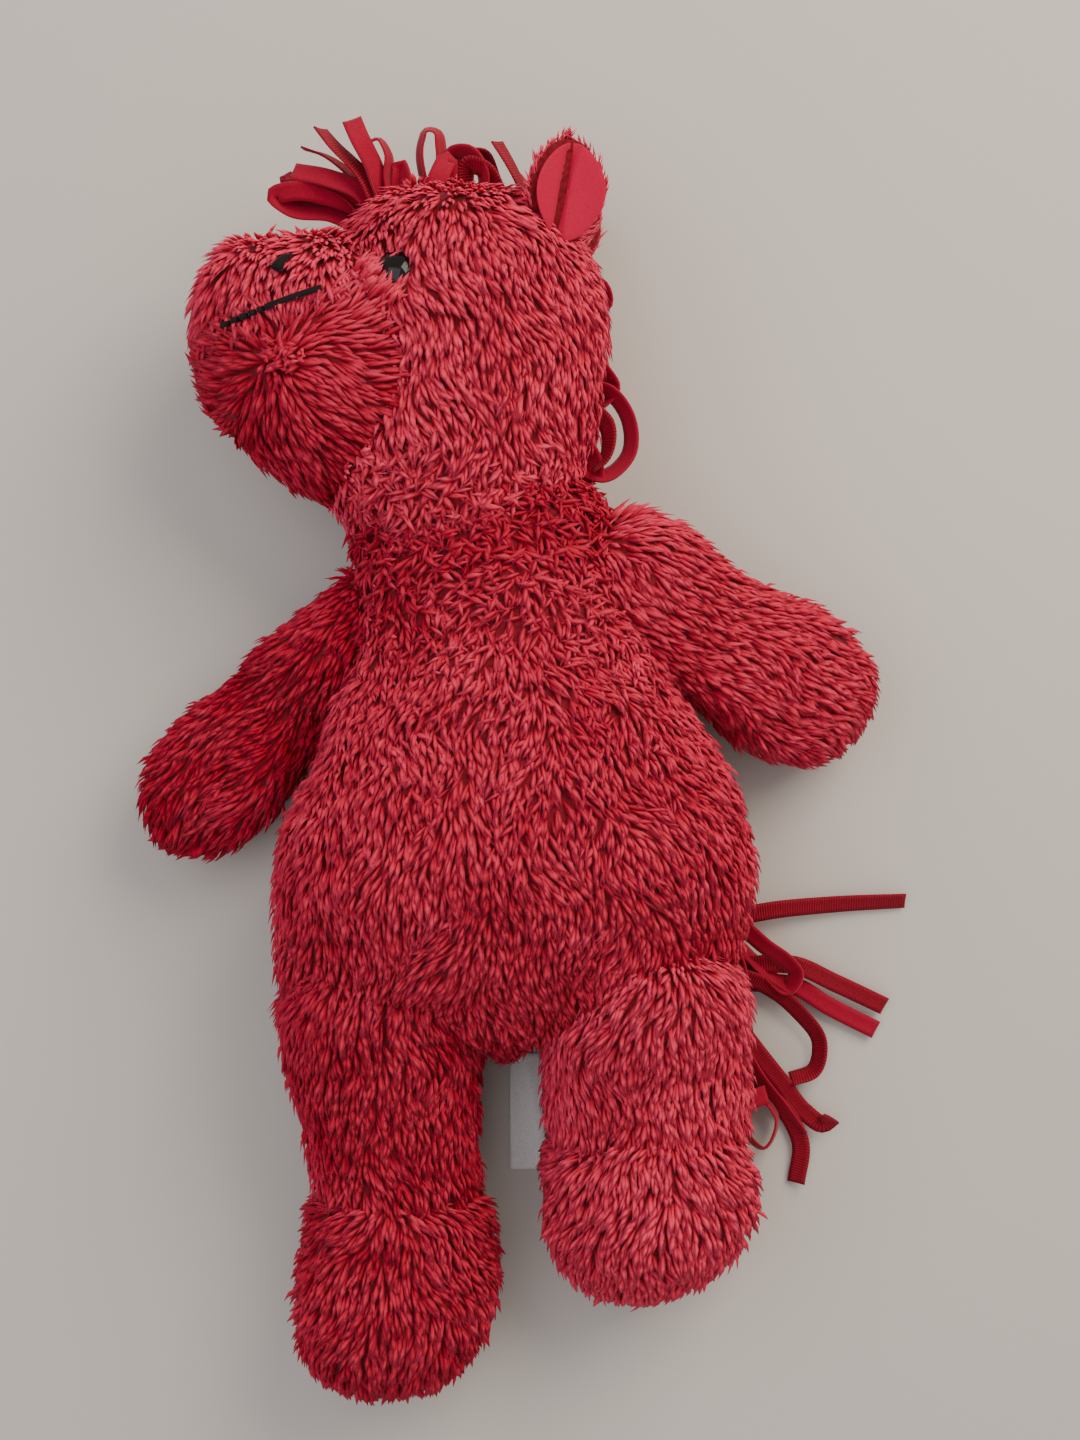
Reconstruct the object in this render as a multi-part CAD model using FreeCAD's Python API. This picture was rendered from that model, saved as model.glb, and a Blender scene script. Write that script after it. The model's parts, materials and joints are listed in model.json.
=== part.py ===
import FreeCAD, Part
import math
import os

# A long-pile plush pony with a ribbon mane and a ribbon tail, lying on its back
# with its head turned so that the muzzle points along -X.
# +Y runs from the seat to the head, +Z from the back to the belly.  The origin is
# on the flat of the back, at belly height.  Left and right are the toy's own
# sides, so its right arm and leg are on -X.  All lengths are in millimetres.

V = FreeCAD.Vector
X_AXIS = V(1, 0, 0)
Y_AXIS = V(0, 1, 0)
Z_AXIS = V(0, 0, 1)

# ---- cloth, thread and clearances -------------------------------------------
pile_wall = 6.0            # backing cloth with the fur pile that stands on it
stuffing_gap = 0.3         # between a cover and its filling
joint_gap = 1.8            # room that a sewn joint leaves round a limb root
face_gap = 0.5             # between two pieces that only lie beside each other
stitch_radius = 0.5        # heavy sewing thread, doubled
flat_sink = 1.2            # how much the toy's own weight flattens each round

# ---- torso -------------------------------------------------------------------
torso_length = 169.0       # neck rim to the line where the legs are sewn on
neck_share = 0.574         # share of that length above the origin
neck_half_width = 38.0
shoulder_half_width = 40.0
chest_half_width = 51.0
belly_half_width = 76.0
hip_half_width = 81.0
seat_half_width = 76.0
neck_half_depth = 35.0
chest_half_depth = 43.0
belly_half_depth = 52.0
seat_half_depth = 41.0
throat_half_depth = 39.0
waist_half_width = 65.0    # between the chest and the belly
waist_half_depth = 48.5
bottom_half_width = 80.0   # just above the line of the legs
bottom_half_depth = 48.0
lean = 14.0                # how far the neck sits towards the right shoulder
neck_y = torso_length * neck_share
seat_y = neck_y - torso_length

# ---- head and muzzle ---------------------------------------------------------
head_radius = 48.0
head_half_length = 55.0
neck_ball_radius = 38.0
neck_ball_rise = 23.0      # ball centre above the neck rim
neck_seam_drop = 30.0      # neck seam below the ball centre
muzzle_half_length = 38.0
muzzle_radius = 40.0
muzzle_reach = 56.0        # head centre to muzzle centre
head_x = 2.0 - lean
head_y = neck_y + 1.0 + head_half_length
head_z = head_radius - flat_sink
head_centre = V(head_x, head_y, head_z)
neck_pivot = V(head_x, neck_y + neck_ball_rise, head_z)

# ---- eyes, nostrils, mouth ---------------------------------------------------
eye_radius = 6.5
eye_back = 23.0            # eyes lie this far towards the muzzle
eye_rise = 20.0            # and this far towards the crown
shank_radius = 1.6
shank_length = 13.0
washer_radius = 7.5
washer_thickness = 1.6
nostril_radius = 2.4
thread_depth = 1.4
mouth_line = 2.0           # height of the stitched mouth line

# ---- ears --------------------------------------------------------------------
ear_half_width = 13.5
ear_half_length = 17.5
ear_half_thickness = 5.0
lining_thickness = 1.6
ear_reach = 11.5           # hinge line to the middle of the ear

# ---- arms --------------------------------------------------------------------
arm_length = 82.0          # shoulder pivot to the middle of the hand
arm_root_radius = 20.0
hand_radius = 19.5

# ---- legs and feet -----------------------------------------------------------
leg_radius = 33.0
ankle_radius = 30.0
foot_radius = 34.0
foot_half_length = 35.0
right_leg_length = 64.0    # leg root to ankle
left_leg_length = 38.0     # shorter, because this leg is pushed up at the hip
hip_spacing = 83.0         # between the two leg centres
hip_drop = 1.6             # leg root behind the torso's end
leg_out = 0.16             # how far the left leg points outwards, per length
gusset_half_width = 6.6
gusset_reach = 20.0
gusset_half_height = 30.0

# ---- bean pouch --------------------------------------------------------------
pouch_half_width = 48.6
pouch_radius = 30.0
pouch_wall = 1.0

# ---- ribbons -----------------------------------------------------------------
ribbon_width = 7.0
ribbon_thickness = 0.8
forehead_loop = 27.0
crown_loop = 22.0
nape_loop = 11.0
loop_lift = 0.9            # a loop's foot above the skull it is sewn to
tail_root = V(52.0, seat_y + 10.0, 4.6)
tail_length = 86.0
tail_ribbon_width = 3.3    # narrower than the cloth, so that the roots lie side by side
tail_gather = 9.0          # from the band to where the ribbons part
band_length = 9.0
band_width = 13.0
band_thickness = 5.0

# ---- label -------------------------------------------------------------------
label_width = 13.0
label_length = 42.0
label_thickness = 0.7


# ---- solids that several pieces share ----------------------------------------
def oriented(shape, direction, place):
    """Turn a shape made along X so that it points along direction, at place."""
    turn = FreeCAD.Rotation(X_AXIS, direction)
    shape.Placement = FreeCAD.Placement(place, turn)
    return shape


def spheroid(centre, axis, half_length, radius):
    """A sphere stretched to its own half length along an axis."""
    size = FreeCAD.Matrix()
    size.scale(V(half_length, radius, radius))
    return oriented(Part.makeSphere(1.0).transformGeometry(size), axis, centre)


def ball(centre, radius):
    """A sphere at a place."""
    return Part.makeSphere(radius, centre)


def limb(root, tip, root_radius, tip_radius, grow=0.0):
    """A round-ended tapering limb, grown or shrunk all over by grow."""
    length = (tip - root).Length
    r1 = root_radius + grow
    r2 = tip_radius + grow
    tilt = math.asin((r1 - r2) / length)

    def rim(middle, radius, angle):
        return V(middle + radius * math.sin(angle), radius * math.cos(angle), 0)

    start = V(-r1, 0, 0)
    end = V(length + r2, 0, 0)
    side_a = rim(0.0, r1, tilt)
    side_b = rim(length, r2, tilt)
    back = Part.Arc(start, rim(0.0, r1, -math.pi / 4), side_a).toShape()
    front = Part.Arc(side_b, rim(length, r2, math.pi / 4), end).toShape()
    edges = [back, Part.makeLine(side_a, side_b), front, Part.makeLine(end, start)]
    solid = Part.Face(Part.Wire(edges)).revolve(V(0, 0, 0), X_AXIS, 360)
    return oriented(solid, tip - root, root)


def turned(shape, point, axis, degrees):
    """A copy of a shape turned about a line."""
    copy = shape.copy()
    copy.rotate(point, axis, degrees)
    return copy


def above_floor(shape):
    """The part of a shape that is above the surface the toy lies on."""
    reach = 1200.0
    room = Part.makeBox(reach, reach, reach, V(-reach / 2, -reach / 2, 0))
    return shape.common(room)


def half_space(side, z):
    """A large box above (side 1) or below (side -1) a level."""
    reach = 1200.0
    low = z if side > 0 else z - reach
    return Part.makeBox(reach, reach, reach, V(-reach / 2, -reach / 2, low))


def carve(shape, rooms):
    """Cut several shapes out of one, in turn."""
    for room in rooms:
        shape = shape.cut(room)
    return shape


def single(shape):
    """The largest solid of a shape, without loose crumbs."""
    return max(shape.Solids, key=lambda solid: solid.Volume)


nodes = {}


def keep(name, shape):
    """Store one sub-part under its node name."""
    nodes[name] = single(shape)


# ---- torso -------------------------------------------------------------------
def torso_sections(shrink):
    """Ellipses from the neck rim to the leg line: place, middle, half sizes."""
    chest_z = chest_half_depth + 1.0
    waist_z = waist_half_depth - flat_sink
    belly_z = belly_half_depth - flat_sink
    return [
        (neck_y - shrink, -lean, neck_half_width, neck_half_depth, head_z - 1.0),
        (neck_y * 0.78, -lean * 0.85, shoulder_half_width, throat_half_depth, chest_z),
        (neck_y * 0.52, -lean * 0.45, chest_half_width, chest_half_depth, chest_z),
        (neck_y * 0.28, 0.0, waist_half_width, waist_half_depth, waist_z),
        (0.0, 3.0, belly_half_width, belly_half_depth, belly_z),
        (seat_y * 0.39, 2.5, hip_half_width, belly_half_depth, belly_z),
        (seat_y * 0.76, 1.0, bottom_half_width, bottom_half_depth, bottom_half_depth - flat_sink),
        (seat_y + shrink, 0.5, seat_half_width, seat_half_depth, seat_half_depth - flat_sink / 2),
    ]


def torso_solid(shrink):
    """The pear-shaped torso, smaller all over by shrink."""
    wires = []
    for y, x, half_width, half_depth, z in torso_sections(shrink):
        middle = V(x, y, z)
        side = V(x + half_width - shrink, y, z)
        top = V(x, y, z + half_depth - shrink)
        wires.append(Part.Wire(Part.Ellipse(side, top, middle).toShape()))
    return Part.makeLoft(wires, True, False)


# ---- arms: where they are and how they move ----------------------------------
right_shoulder = V(-lean - shoulder_half_width - 2.0, neck_y - 33.0, 42.0)
left_shoulder = V(-lean + shoulder_half_width + 11.0, neck_y - 20.0, 48.0)


def arm_direction(heading, root):
    """Unit vector from the shoulder to a hand that lies on the floor."""
    drop = root.z - hand_radius + flat_sink
    reach = math.sqrt(arm_length ** 2 - drop ** 2)
    angle = math.radians(heading)
    tip = V(reach * math.cos(angle), reach * math.sin(angle), -drop)
    return tip / tip.Length


arm_heading = {"right": 230.0, "left": -32.0}
arm_root = {"right": right_shoulder, "left": left_shoulder}
arm_lift_range = (-15.0, 80.0)


def arm_solid(side, grow):
    """One arm from its round root to its round hand."""
    root = arm_root[side]
    tip = root + arm_direction(arm_heading[side], root) * arm_length
    return limb(root, tip, arm_root_radius, hand_radius, grow)


def lift_axis(heading):
    """Level axis, across a heading, about which a limb rises."""
    angle = math.radians(heading)
    return V(math.sin(angle), -math.cos(angle), 0)


def arm_room(side):
    """What an arm passes through as it rises, each step a little wider."""
    root = arm_root[side]
    axis = lift_axis(arm_heading[side])
    low, high = arm_lift_range
    steps = [low, 0.0] + [high * i / 5 for i in range(1, 6)]
    grown = [arm_solid(side, joint_gap + 0.15 * i) for i in range(len(steps))]
    return [turned(arm, root, axis, angle) for arm, angle in zip(grown, steps)]


# ---- head --------------------------------------------------------------------
def head_solid(shrink):
    """The skull with the ball of its neck."""
    skull = spheroid(head_centre, Y_AXIS, head_half_length - shrink, head_radius - shrink)
    neck = ball(neck_pivot, neck_ball_radius - shrink)
    return skull.fuse(neck)


muzzle_centre = head_centre + V(-muzzle_reach, 0, 0)


def muzzle_solid(shrink):
    """The round muzzle, before the skull is taken off it."""
    half = muzzle_half_length - shrink
    return spheroid(muzzle_centre, X_AXIS, half, muzzle_radius - shrink)


def on_skull(x, y, side):
    """A point of the skull's surface and the outward normal there."""
    a = (x - head_centre.x) / head_radius
    b = (y - head_centre.y) / head_half_length
    c = math.sqrt(1.0 - a * a - b * b) * side
    point = V(x, y, head_centre.z + c * head_radius)
    normal = V(a / head_radius, b / head_half_length, c / head_radius)
    return point, normal / normal.Length


def on_muzzle(x, y, side):
    """A point of the muzzle's surface and the outward normal there."""
    a = (x - muzzle_centre.x) / muzzle_half_length
    b = (y - muzzle_centre.y) / muzzle_radius
    c = math.sqrt(1.0 - a * a - b * b) * side
    point = V(x, y, muzzle_centre.z + c * muzzle_radius)
    normal = V(a / muzzle_half_length, b / muzzle_radius, c / muzzle_radius)
    return point, normal / normal.Length


sides = {"left": 1, "right": -1}


def eye_pose(side):
    """Where an eye sits on the skull and the way it looks."""
    return on_skull(head_x - eye_back, head_y + eye_rise, sides[side])


def eye_pieces(side):
    """A domed eye with its shank, and the washer that locks it."""
    place, out = eye_pose(side)
    seat = place + out * 0.3
    dome = Part.makeSphere(eye_radius, seat, out, 0, 90, 360)
    shank = Part.makeCylinder(shank_radius, shank_length, seat, -out)
    back = place - out * (pile_wall + 1.0)
    washer = Part.makeCylinder(washer_radius, washer_thickness, back, -out)
    return dome.fuse(shank), washer


def eye_rooms(side):
    """The shank's hole and the washer's seat, through cover and filling."""
    place, out = eye_pose(side)
    grow = 0.15
    hole = Part.makeCylinder(shank_radius + grow, shank_length + 4.0, place + out * 4.0, -out)
    back = place - out * (pile_wall + 1.0 - grow)
    seat = Part.makeCylinder(washer_radius + grow, washer_thickness + 2 * grow, back, -out)
    return [hole, seat]


def eye_well(side):
    """The room that the muzzle's cheek leaves for an eye."""
    place, out = eye_pose(side)
    return Part.makeCylinder(eye_radius + face_gap, 30.0, place - out * 10.0, out)


def nostril_solid(side):
    """A pad of satin stitches on the muzzle."""
    place, out = on_muzzle(muzzle_centre.x - 3.0, muzzle_centre.y + 23.0, sides[side])
    return Part.makeCylinder(nostril_radius, thread_depth + 0.6, place - out * thread_depth, out)


def mouth_solid():
    """The stitched mouth line, which wraps the muzzle from cheek to cheek."""
    skin = muzzle_solid(-0.6).cut(muzzle_solid(thread_depth))
    corner = muzzle_centre + V(7.0, 14.4, 0)
    front = muzzle_centre + V(-31.6, 5.0, 0)
    run = corner - front
    angle = math.degrees(math.atan2(run.y, run.x))
    length = run.Length + 14.0
    slab = Part.makeBox(length, mouth_line, 4 * muzzle_radius, V(0, 0, 0))
    slab.translate(V(-length, -mouth_line / 2, -2 * muzzle_radius))
    slab.rotate(V(0, 0, 0), Z_AXIS, angle)
    slab.translate(corner)
    return skin.common(slab)


# ---- ears --------------------------------------------------------------------
ear_fold_range = (-20.0, 25.0)


def ear_place(side):
    """The middle of an ear's hinge line and the direction it stands in."""
    place, out = on_skull(head_x + 30.0, head_y + 35.0, sides[side])
    direction = V(0.10, 1.0, 0.22 * sides[side])
    return place + out * 1.0, direction / direction.Length


def ear_solid(side, grow):
    """A flattened leaf that stands on the skull."""
    place, direction = ear_place(side)
    leaf = Part.makeSphere(1.0)
    size = FreeCAD.Matrix()
    size.scale(V(ear_half_length + grow, ear_half_width + grow, ear_half_thickness + grow))
    leaf = leaf.transformGeometry(size)
    return oriented(leaf, direction, place + direction * ear_reach)


def ear_lining_solid(side):
    """The smooth lining that fills the ear's open face."""
    place, direction = ear_place(side)
    size = FreeCAD.Matrix()
    half = ear_half_thickness
    size.scale(V(ear_half_length - 6.0, ear_half_width - 5.0, half - 1.2))
    pad = Part.makeSphere(1.0).transformGeometry(size)
    pad = oriented(pad, direction, place + direction * (ear_reach + 1.0))
    pad.translate(V(0, 0, sides[side] * (lining_thickness + 1.0)))
    return pad


# ---- legs --------------------------------------------------------------------
leg_root = {
    "right": V(-hip_spacing / 2, seat_y - hip_drop, leg_radius - flat_sink),
    "left": V(hip_spacing / 2, seat_y - hip_drop, leg_radius - flat_sink),
}
leg_length = {"right": right_leg_length, "left": left_leg_length}
leg_slant = {"right": 0.03, "left": leg_out}


def leg_direction(side):
    """Level unit vector from a leg's root to its ankle."""
    direction = V(leg_slant[side], -1.0, 0)
    return direction / direction.Length


def ankle_place(side):
    """The middle of the ankle, on a leg that lies on the floor."""
    place = leg_root[side] + leg_direction(side) * leg_length[side]
    return V(place.x, place.y, ankle_radius - flat_sink)


def leg_solid(side, shrink):
    """A leg from its flat sewn end to the ankle."""
    root = leg_root[side] + V(0, -shrink, 0)
    ankle = ankle_place(side)
    span = ankle - root
    r1 = leg_radius - shrink
    r2 = ankle_radius - shrink
    trunk = Part.makeCone(r1 + 0.4, r2, span.Length + 14.0, root + V(0, 14.0, 0), span)
    end = Part.makeBox(400, 400, 400, V(root.x - 200, root.y - 400, -200))
    return trunk.common(end).cut(foot_solid(side, 0.0))


def foot_solid(side, shrink):
    """The round foot, with its ankle end."""
    centre = ankle_place(side) + leg_direction(side) * (foot_half_length - 8.0)
    centre.z = foot_radius - flat_sink
    across = foot_radius - shrink
    return spheroid(centre, leg_direction(side), foot_half_length - shrink, across)


# ---- ribbons -----------------------------------------------------------------
def ribbon(points, width_direction, width=ribbon_width):
    """A flat ribbon whose middle line runs through points of one plane."""
    line = Part.BSplineCurve()
    line.interpolate(points)
    shape = line.toShape()
    steps = 3 * len(points)
    near = []
    far = []
    for i in range(steps + 1):
        u = line.FirstParameter + (line.LastParameter - line.FirstParameter) * i / steps
        tangent = shape.tangentAt(u)
        normal = tangent.cross(width_direction)
        normal = normal / normal.Length
        near.append(line.value(u) + normal * (ribbon_thickness / 2))
        far.append(line.value(u) - normal * (ribbon_thickness / 2))
    one = Part.BSplineCurve()
    one.interpolate(near)
    two = Part.BSplineCurve()
    two.interpolate(far)
    edges = [
        one.toShape(),
        Part.makeLine(near[-1], far[-1]),
        two.toShape(),
        Part.makeLine(far[0], near[0]),
    ]
    face = Part.Face(Part.Wire(Part.__sortEdges__(edges)))
    band = face.extrude(width_direction * width)
    band.translate(width_direction * (-width / 2))
    return band


def ribbon_loop(root, out, length, belly):
    """A ribbon bent double, which stands out from a seam."""
    across = out.cross(Z_AXIS)
    across = across / across.Length
    rise = across.cross(out)
    rise = rise / rise.Length
    points = [
        root - rise * 1.2,
        root + out * (length * 0.45) - rise * belly,
        root + out * length,
        root + out * (length * 0.45) + rise * belly,
        root + rise * 1.2,
    ]
    return ribbon(points, across)


def fan(count, start, step):
    """Headings of pieces that fan out from a seam."""
    return [start + step * i for i in range(count)]


def mane_group(name, count, first, spread, place, length, belly):
    """Ribbon loops along the skull's seam, in turn to its left and to its right."""
    for i, angle in enumerate(fan(count, first, spread)):
        share = i / (count - 1)
        seam = math.radians(place[0] + (place[1] - place[0]) * share)
        row = (belly + ribbon_thickness / 2 + face_gap) * (-1) ** i
        level = math.sqrt(1.0 - (row / head_radius) ** 2)
        root = head_centre + V(
            head_radius * level * math.cos(seam), head_half_length * level * math.sin(seam), row
        )
        heading = math.radians(angle)
        out = V(math.cos(heading), math.sin(heading), 0)
        corner_lift = ribbon_width / 2 * abs(math.sin(heading - seam)) + loop_lift
        reach = length * (0.8 + 0.2 * math.sin(2.1 * i + 1.0))
        keep(f"{name}_{i + 1}", ribbon_loop(root + out * corner_lift, out, reach, belly))


# ---- tail --------------------------------------------------------------------
tail_headings = fan(7, 34.0, -12.0)


def tail_strip(index):
    """One tail ribbon, from the band down to the floor and along it."""
    heading = math.radians(tail_headings[index])
    out = V(math.cos(heading), math.sin(heading), 0)
    across = V(-out.y, out.x, 0)
    reach = tail_length * (0.70 + 0.22 * math.cos(0.7 * index))
    arch = 3.0 + 1.5 * math.sin(1.7 * index) ** 2
    start = tail_root + out * (band_length + tail_gather)
    heights = (tail_root.z, arch, arch * 0.8, 0.9, 0.7)
    points = [V(start.x, start.y, z) + out * (reach * i / 4) for i, z in enumerate(heights)]
    return ribbon(points, across, tail_ribbon_width)


# ---- build: arms -------------------------------------------------------------
seam_lean = math.radians(25.0)
for side in sides:
    outer = above_floor(arm_solid(side, 0.0))
    inner = arm_solid(side, -pile_wall)
    keep(f"arm_{side}_cover", outer.cut(inner))
    keep(f"arm_{side}_stuffing", arm_solid(side, -pile_wall - stuffing_gap))
    root = arm_root[side]
    direction = arm_direction(arm_heading[side], root)
    ring_radius = (arm_root_radius + joint_gap / 2) * math.sin(seam_lean)
    ring_place = root - direction * ((arm_root_radius + joint_gap / 2) * math.cos(seam_lean))
    ring = Part.makeTorus(ring_radius, stitch_radius, ring_place, direction)
    keep(f"shoulder_{side}_stitches", ring)

# ---- build: torso ------------------------------------------------------------
neck_room = ball(neck_pivot, neck_ball_radius + joint_gap)
rooms = [neck_room] + arm_room("right") + arm_room("left")
torso_outer = carve(above_floor(torso_solid(0.0)), rooms)
torso_shell = torso_outer.cut(torso_solid(pile_wall))
seam_level = belly_half_depth - flat_sink
keep("torso_front_cover", torso_shell.common(half_space(1, seam_level)))
keep("torso_back_cover", torso_shell.common(half_space(-1, seam_level)))



def pouch_solid(grow):
    """The bean pouch in the seat, grown or shrunk all over."""
    centre = V(0, seat_y * 0.45, seam_level - 6.0)
    return spheroid(centre, X_AXIS, pouch_half_width + grow, pouch_radius + grow)


filling = carve(torso_solid(pile_wall + stuffing_gap), rooms)
keep("torso_stuffing", filling.cut(pouch_solid(stuffing_gap)))
keep("seat_bean_pouch", pouch_solid(0.0).cut(pouch_solid(-pouch_wall)))
keep("seat_beans", pouch_solid(-pouch_wall - stuffing_gap))

gusset = spheroid(V(0, seat_y, seat_half_depth - 4.0), Z_AXIS, gusset_half_height, gusset_reach)
corner = V(-gusset_half_width, seat_y - gusset_reach, 0)
web = Part.makeBox(2 * gusset_half_width, gusset_reach, 2 * seat_half_depth, corner)
keep("crotch_gusset", gusset.common(web))

ring_radius = math.sqrt((neck_ball_radius + joint_gap / 2) ** 2 - neck_seam_drop ** 2)
ring_place = neck_pivot - V(0, neck_seam_drop, 0)
keep("neck_stitches", Part.makeTorus(ring_radius, stitch_radius, ring_place, Y_AXIS))

# ---- build: head -------------------------------------------------------------
def ear_rooms(side):
    """What an ear passes through as it folds."""
    hinge, _ = ear_place(side)
    steps = (ear_fold_range[0], 0.0, ear_fold_range[1])
    ear = ear_solid(side, face_gap)
    return [turned(ear, hinge, X_AXIS, sides[side] * angle) for angle in steps]


def right_of(shape):
    """The right-hand twin of a left piece of the head."""
    return shape.mirror(V(0, 0, head_z), Z_AXIS)


upper = half_space(1, head_z)
head_rooms = eye_rooms("left") + ear_rooms("left")
half_shell = head_solid(0.0).cut(head_solid(pile_wall)).common(upper)
half_shell = carve(half_shell, head_rooms)
keep("head_left_cover", half_shell)
keep("head_right_cover", above_floor(right_of(half_shell)))
half_filling = carve(head_solid(pile_wall + stuffing_gap).common(upper), head_rooms)
keep("head_stuffing", half_filling.fuse(right_of(half_filling)))

half_mouth = mouth_solid().common(upper)
half_muzzle = muzzle_solid(0.0).cut(muzzle_solid(pile_wall)).common(upper)
sewn_on = [eye_well("left"), nostril_solid("left"), half_mouth]
half_muzzle = carve(half_muzzle, [head_solid(0.0)] + sewn_on)
keep("muzzle_cover", half_muzzle.fuse(right_of(half_muzzle)))
half_filling = muzzle_solid(pile_wall + stuffing_gap).common(upper)
half_filling = carve(half_filling, [head_solid(0.0), eye_well("left")])
keep("muzzle_stuffing", half_filling.fuse(right_of(half_filling)))
keep("mouth_stitching", mouth_solid())
for side in sides:
    keep(f"nostril_{side}", nostril_solid(side))

for side in sides:
    eye, washer = eye_pieces(side)
    keep(f"eye_{side}", eye)
    keep(f"eye_{side}_washer", washer.cut(eye))
    ear = ear_solid(side, 0.0)
    lining = ear_lining_solid(side)
    keep(f"ear_{side}_back", ear.cut(lining))
    keep(f"ear_{side}_lining", ear.common(lining))

mane_group("mane_forehead", 5, 150.0, -14.0, (133.0, 111.0), forehead_loop, 3.5)
mane_group("mane_crown", 3, 92.0, -10.0, (97.0, 81.0), crown_loop, 3.0)
mane_group("mane_nape", 3, 12.0, -12.0, (14.0, -26.0), nape_loop, 2.5)

# ---- build: legs -------------------------------------------------------------
for side in sides:
    leg = above_floor(leg_solid(side, 0.0))
    foot = above_floor(foot_solid(side, 0.0))
    keep(f"leg_{side}_cover", leg.cut(leg_solid(side, pile_wall)))
    keep(f"leg_{side}_stuffing", leg_solid(side, pile_wall + stuffing_gap))
    keep(f"foot_{side}_cover", foot.cut(foot_solid(side, pile_wall)))
    keep(f"foot_{side}_stuffing", foot_solid(side, pile_wall + stuffing_gap))
    root = leg_root[side]
    line_start = V(root.x - 20.0, seat_y - hip_drop / 2 - 0.1, 2 * leg_radius - flat_sink + 1.6)
    keep(f"hip_{side}_stitches", Part.makeCylinder(stitch_radius, 40.0, line_start, X_AXIS))

# ---- build: tail and label ---------------------------------------------------
band = Part.makeBox(band_length, band_width, band_thickness)
band.translate(tail_root + V(0, -band_width / 2, -band_thickness / 2))
keep("tail_band", band)
for index in range(len(tail_headings)):
    keep(f"tail_ribbon_{index + 1}", tail_strip(index))

label = Part.makeBox(label_width, label_length, label_thickness)
label.translate(V(1.0, seat_y - gusset_reach - label_length - 1.0, 0.4))
keep("care_label", label)

# ---- write -------------------------------------------------------------------
os.makedirs("parts", exist_ok=True)
for name, shape in nodes.items():
    print(f"{name:26s} valid {shape.isValid()} volume {shape.Volume / 1000:9.2f} cm3")
    shape.exportStep(f"parts/{name}.step")
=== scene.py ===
import json
import logging
import math
from dataclasses import dataclass, field
from enum import Enum
from typing import Callable, Sequence

import bmesh
import bpy
import numpy as np
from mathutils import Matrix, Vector
from mathutils.bvhtree import BVHTree

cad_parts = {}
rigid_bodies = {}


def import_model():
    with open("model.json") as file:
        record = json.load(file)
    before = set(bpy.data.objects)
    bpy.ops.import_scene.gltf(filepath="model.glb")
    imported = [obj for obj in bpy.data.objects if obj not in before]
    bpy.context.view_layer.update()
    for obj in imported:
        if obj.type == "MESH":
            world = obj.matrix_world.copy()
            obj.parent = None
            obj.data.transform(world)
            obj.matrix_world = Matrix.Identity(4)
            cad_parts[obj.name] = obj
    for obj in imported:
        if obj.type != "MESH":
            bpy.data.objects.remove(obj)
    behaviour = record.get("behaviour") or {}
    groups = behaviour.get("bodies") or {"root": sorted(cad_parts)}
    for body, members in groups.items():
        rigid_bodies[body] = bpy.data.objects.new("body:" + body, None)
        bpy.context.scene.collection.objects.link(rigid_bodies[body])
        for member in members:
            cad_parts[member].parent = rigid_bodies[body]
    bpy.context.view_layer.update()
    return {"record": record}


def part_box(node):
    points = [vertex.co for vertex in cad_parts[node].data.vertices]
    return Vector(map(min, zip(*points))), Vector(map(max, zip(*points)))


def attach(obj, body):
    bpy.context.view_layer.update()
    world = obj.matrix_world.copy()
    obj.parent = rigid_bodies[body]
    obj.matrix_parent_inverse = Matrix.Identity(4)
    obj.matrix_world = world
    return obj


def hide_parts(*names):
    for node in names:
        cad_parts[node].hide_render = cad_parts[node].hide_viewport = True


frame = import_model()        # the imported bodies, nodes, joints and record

MM = 0.001
SEED = 41
FLOOR_CLEAR = 1.0        # mm between the backing cloth and the floor
BLUNT = 0.6              # share of a lock's length up to its widest place
PLUMP = 1.6              # mm by which the stuffing swells every section
PALETTE_MAP = "OFBake"   # fur colour map: across it the shade, up it the pile
PALETTE_BAND = 0.2       # share of the map's height that the pile takes
log = logging.getLogger("pony")

Rows = np.ndarray
Pieces = dict[str, bpy.types.Object]


# ---------------------------------------------------------------- measuring
def joint_place(name: str) -> Vector:
    """Return a joint's pivot in mm.

    Args:
        name: The joint's name in the record.

    Returns:
        The pivot, in the toy's frame.
    """
    joints = frame["record"]["behaviour"]["joints"]
    spot = next(j["pos_m"] for j in joints if j["name"] == name)
    return Vector(spot) / MM


def box_mm(node: str) -> tuple[Vector, Vector]:
    """Return a node's lowest and highest corners in mm.

    Args:
        node: The node's name.

    Returns:
        The two corners.
    """
    low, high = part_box(node)
    return Vector(low) / MM, Vector(high) / MM


def eased(x: Rows, knots: Sequence[float], values: Sequence[float]) -> Rows:
    """Read a smooth curve through knots.

    Args:
        x: Where to read the curve.
        knots: Rising positions of the known values.
        values: The known values.

    Returns:
        The curve's values at x.
    """
    k = np.asarray(knots, float)
    v = np.asarray(values, float)
    slope = np.gradient(v, k)
    x = np.clip(x, k[0], k[-1])
    i = np.clip(np.searchsorted(k, x) - 1, 0, len(k) - 2)
    width = k[i + 1] - k[i]
    t = (x - k[i]) / width
    return (
        (2 * t**3 - 3 * t**2 + 1) * v[i]
        + (t**3 - 2 * t**2 + t) * width * slope[i]
        + (3 * t**2 - 2 * t**3) * v[i + 1]
        + (t**3 - t**2) * width * slope[i + 1]
    )


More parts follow.
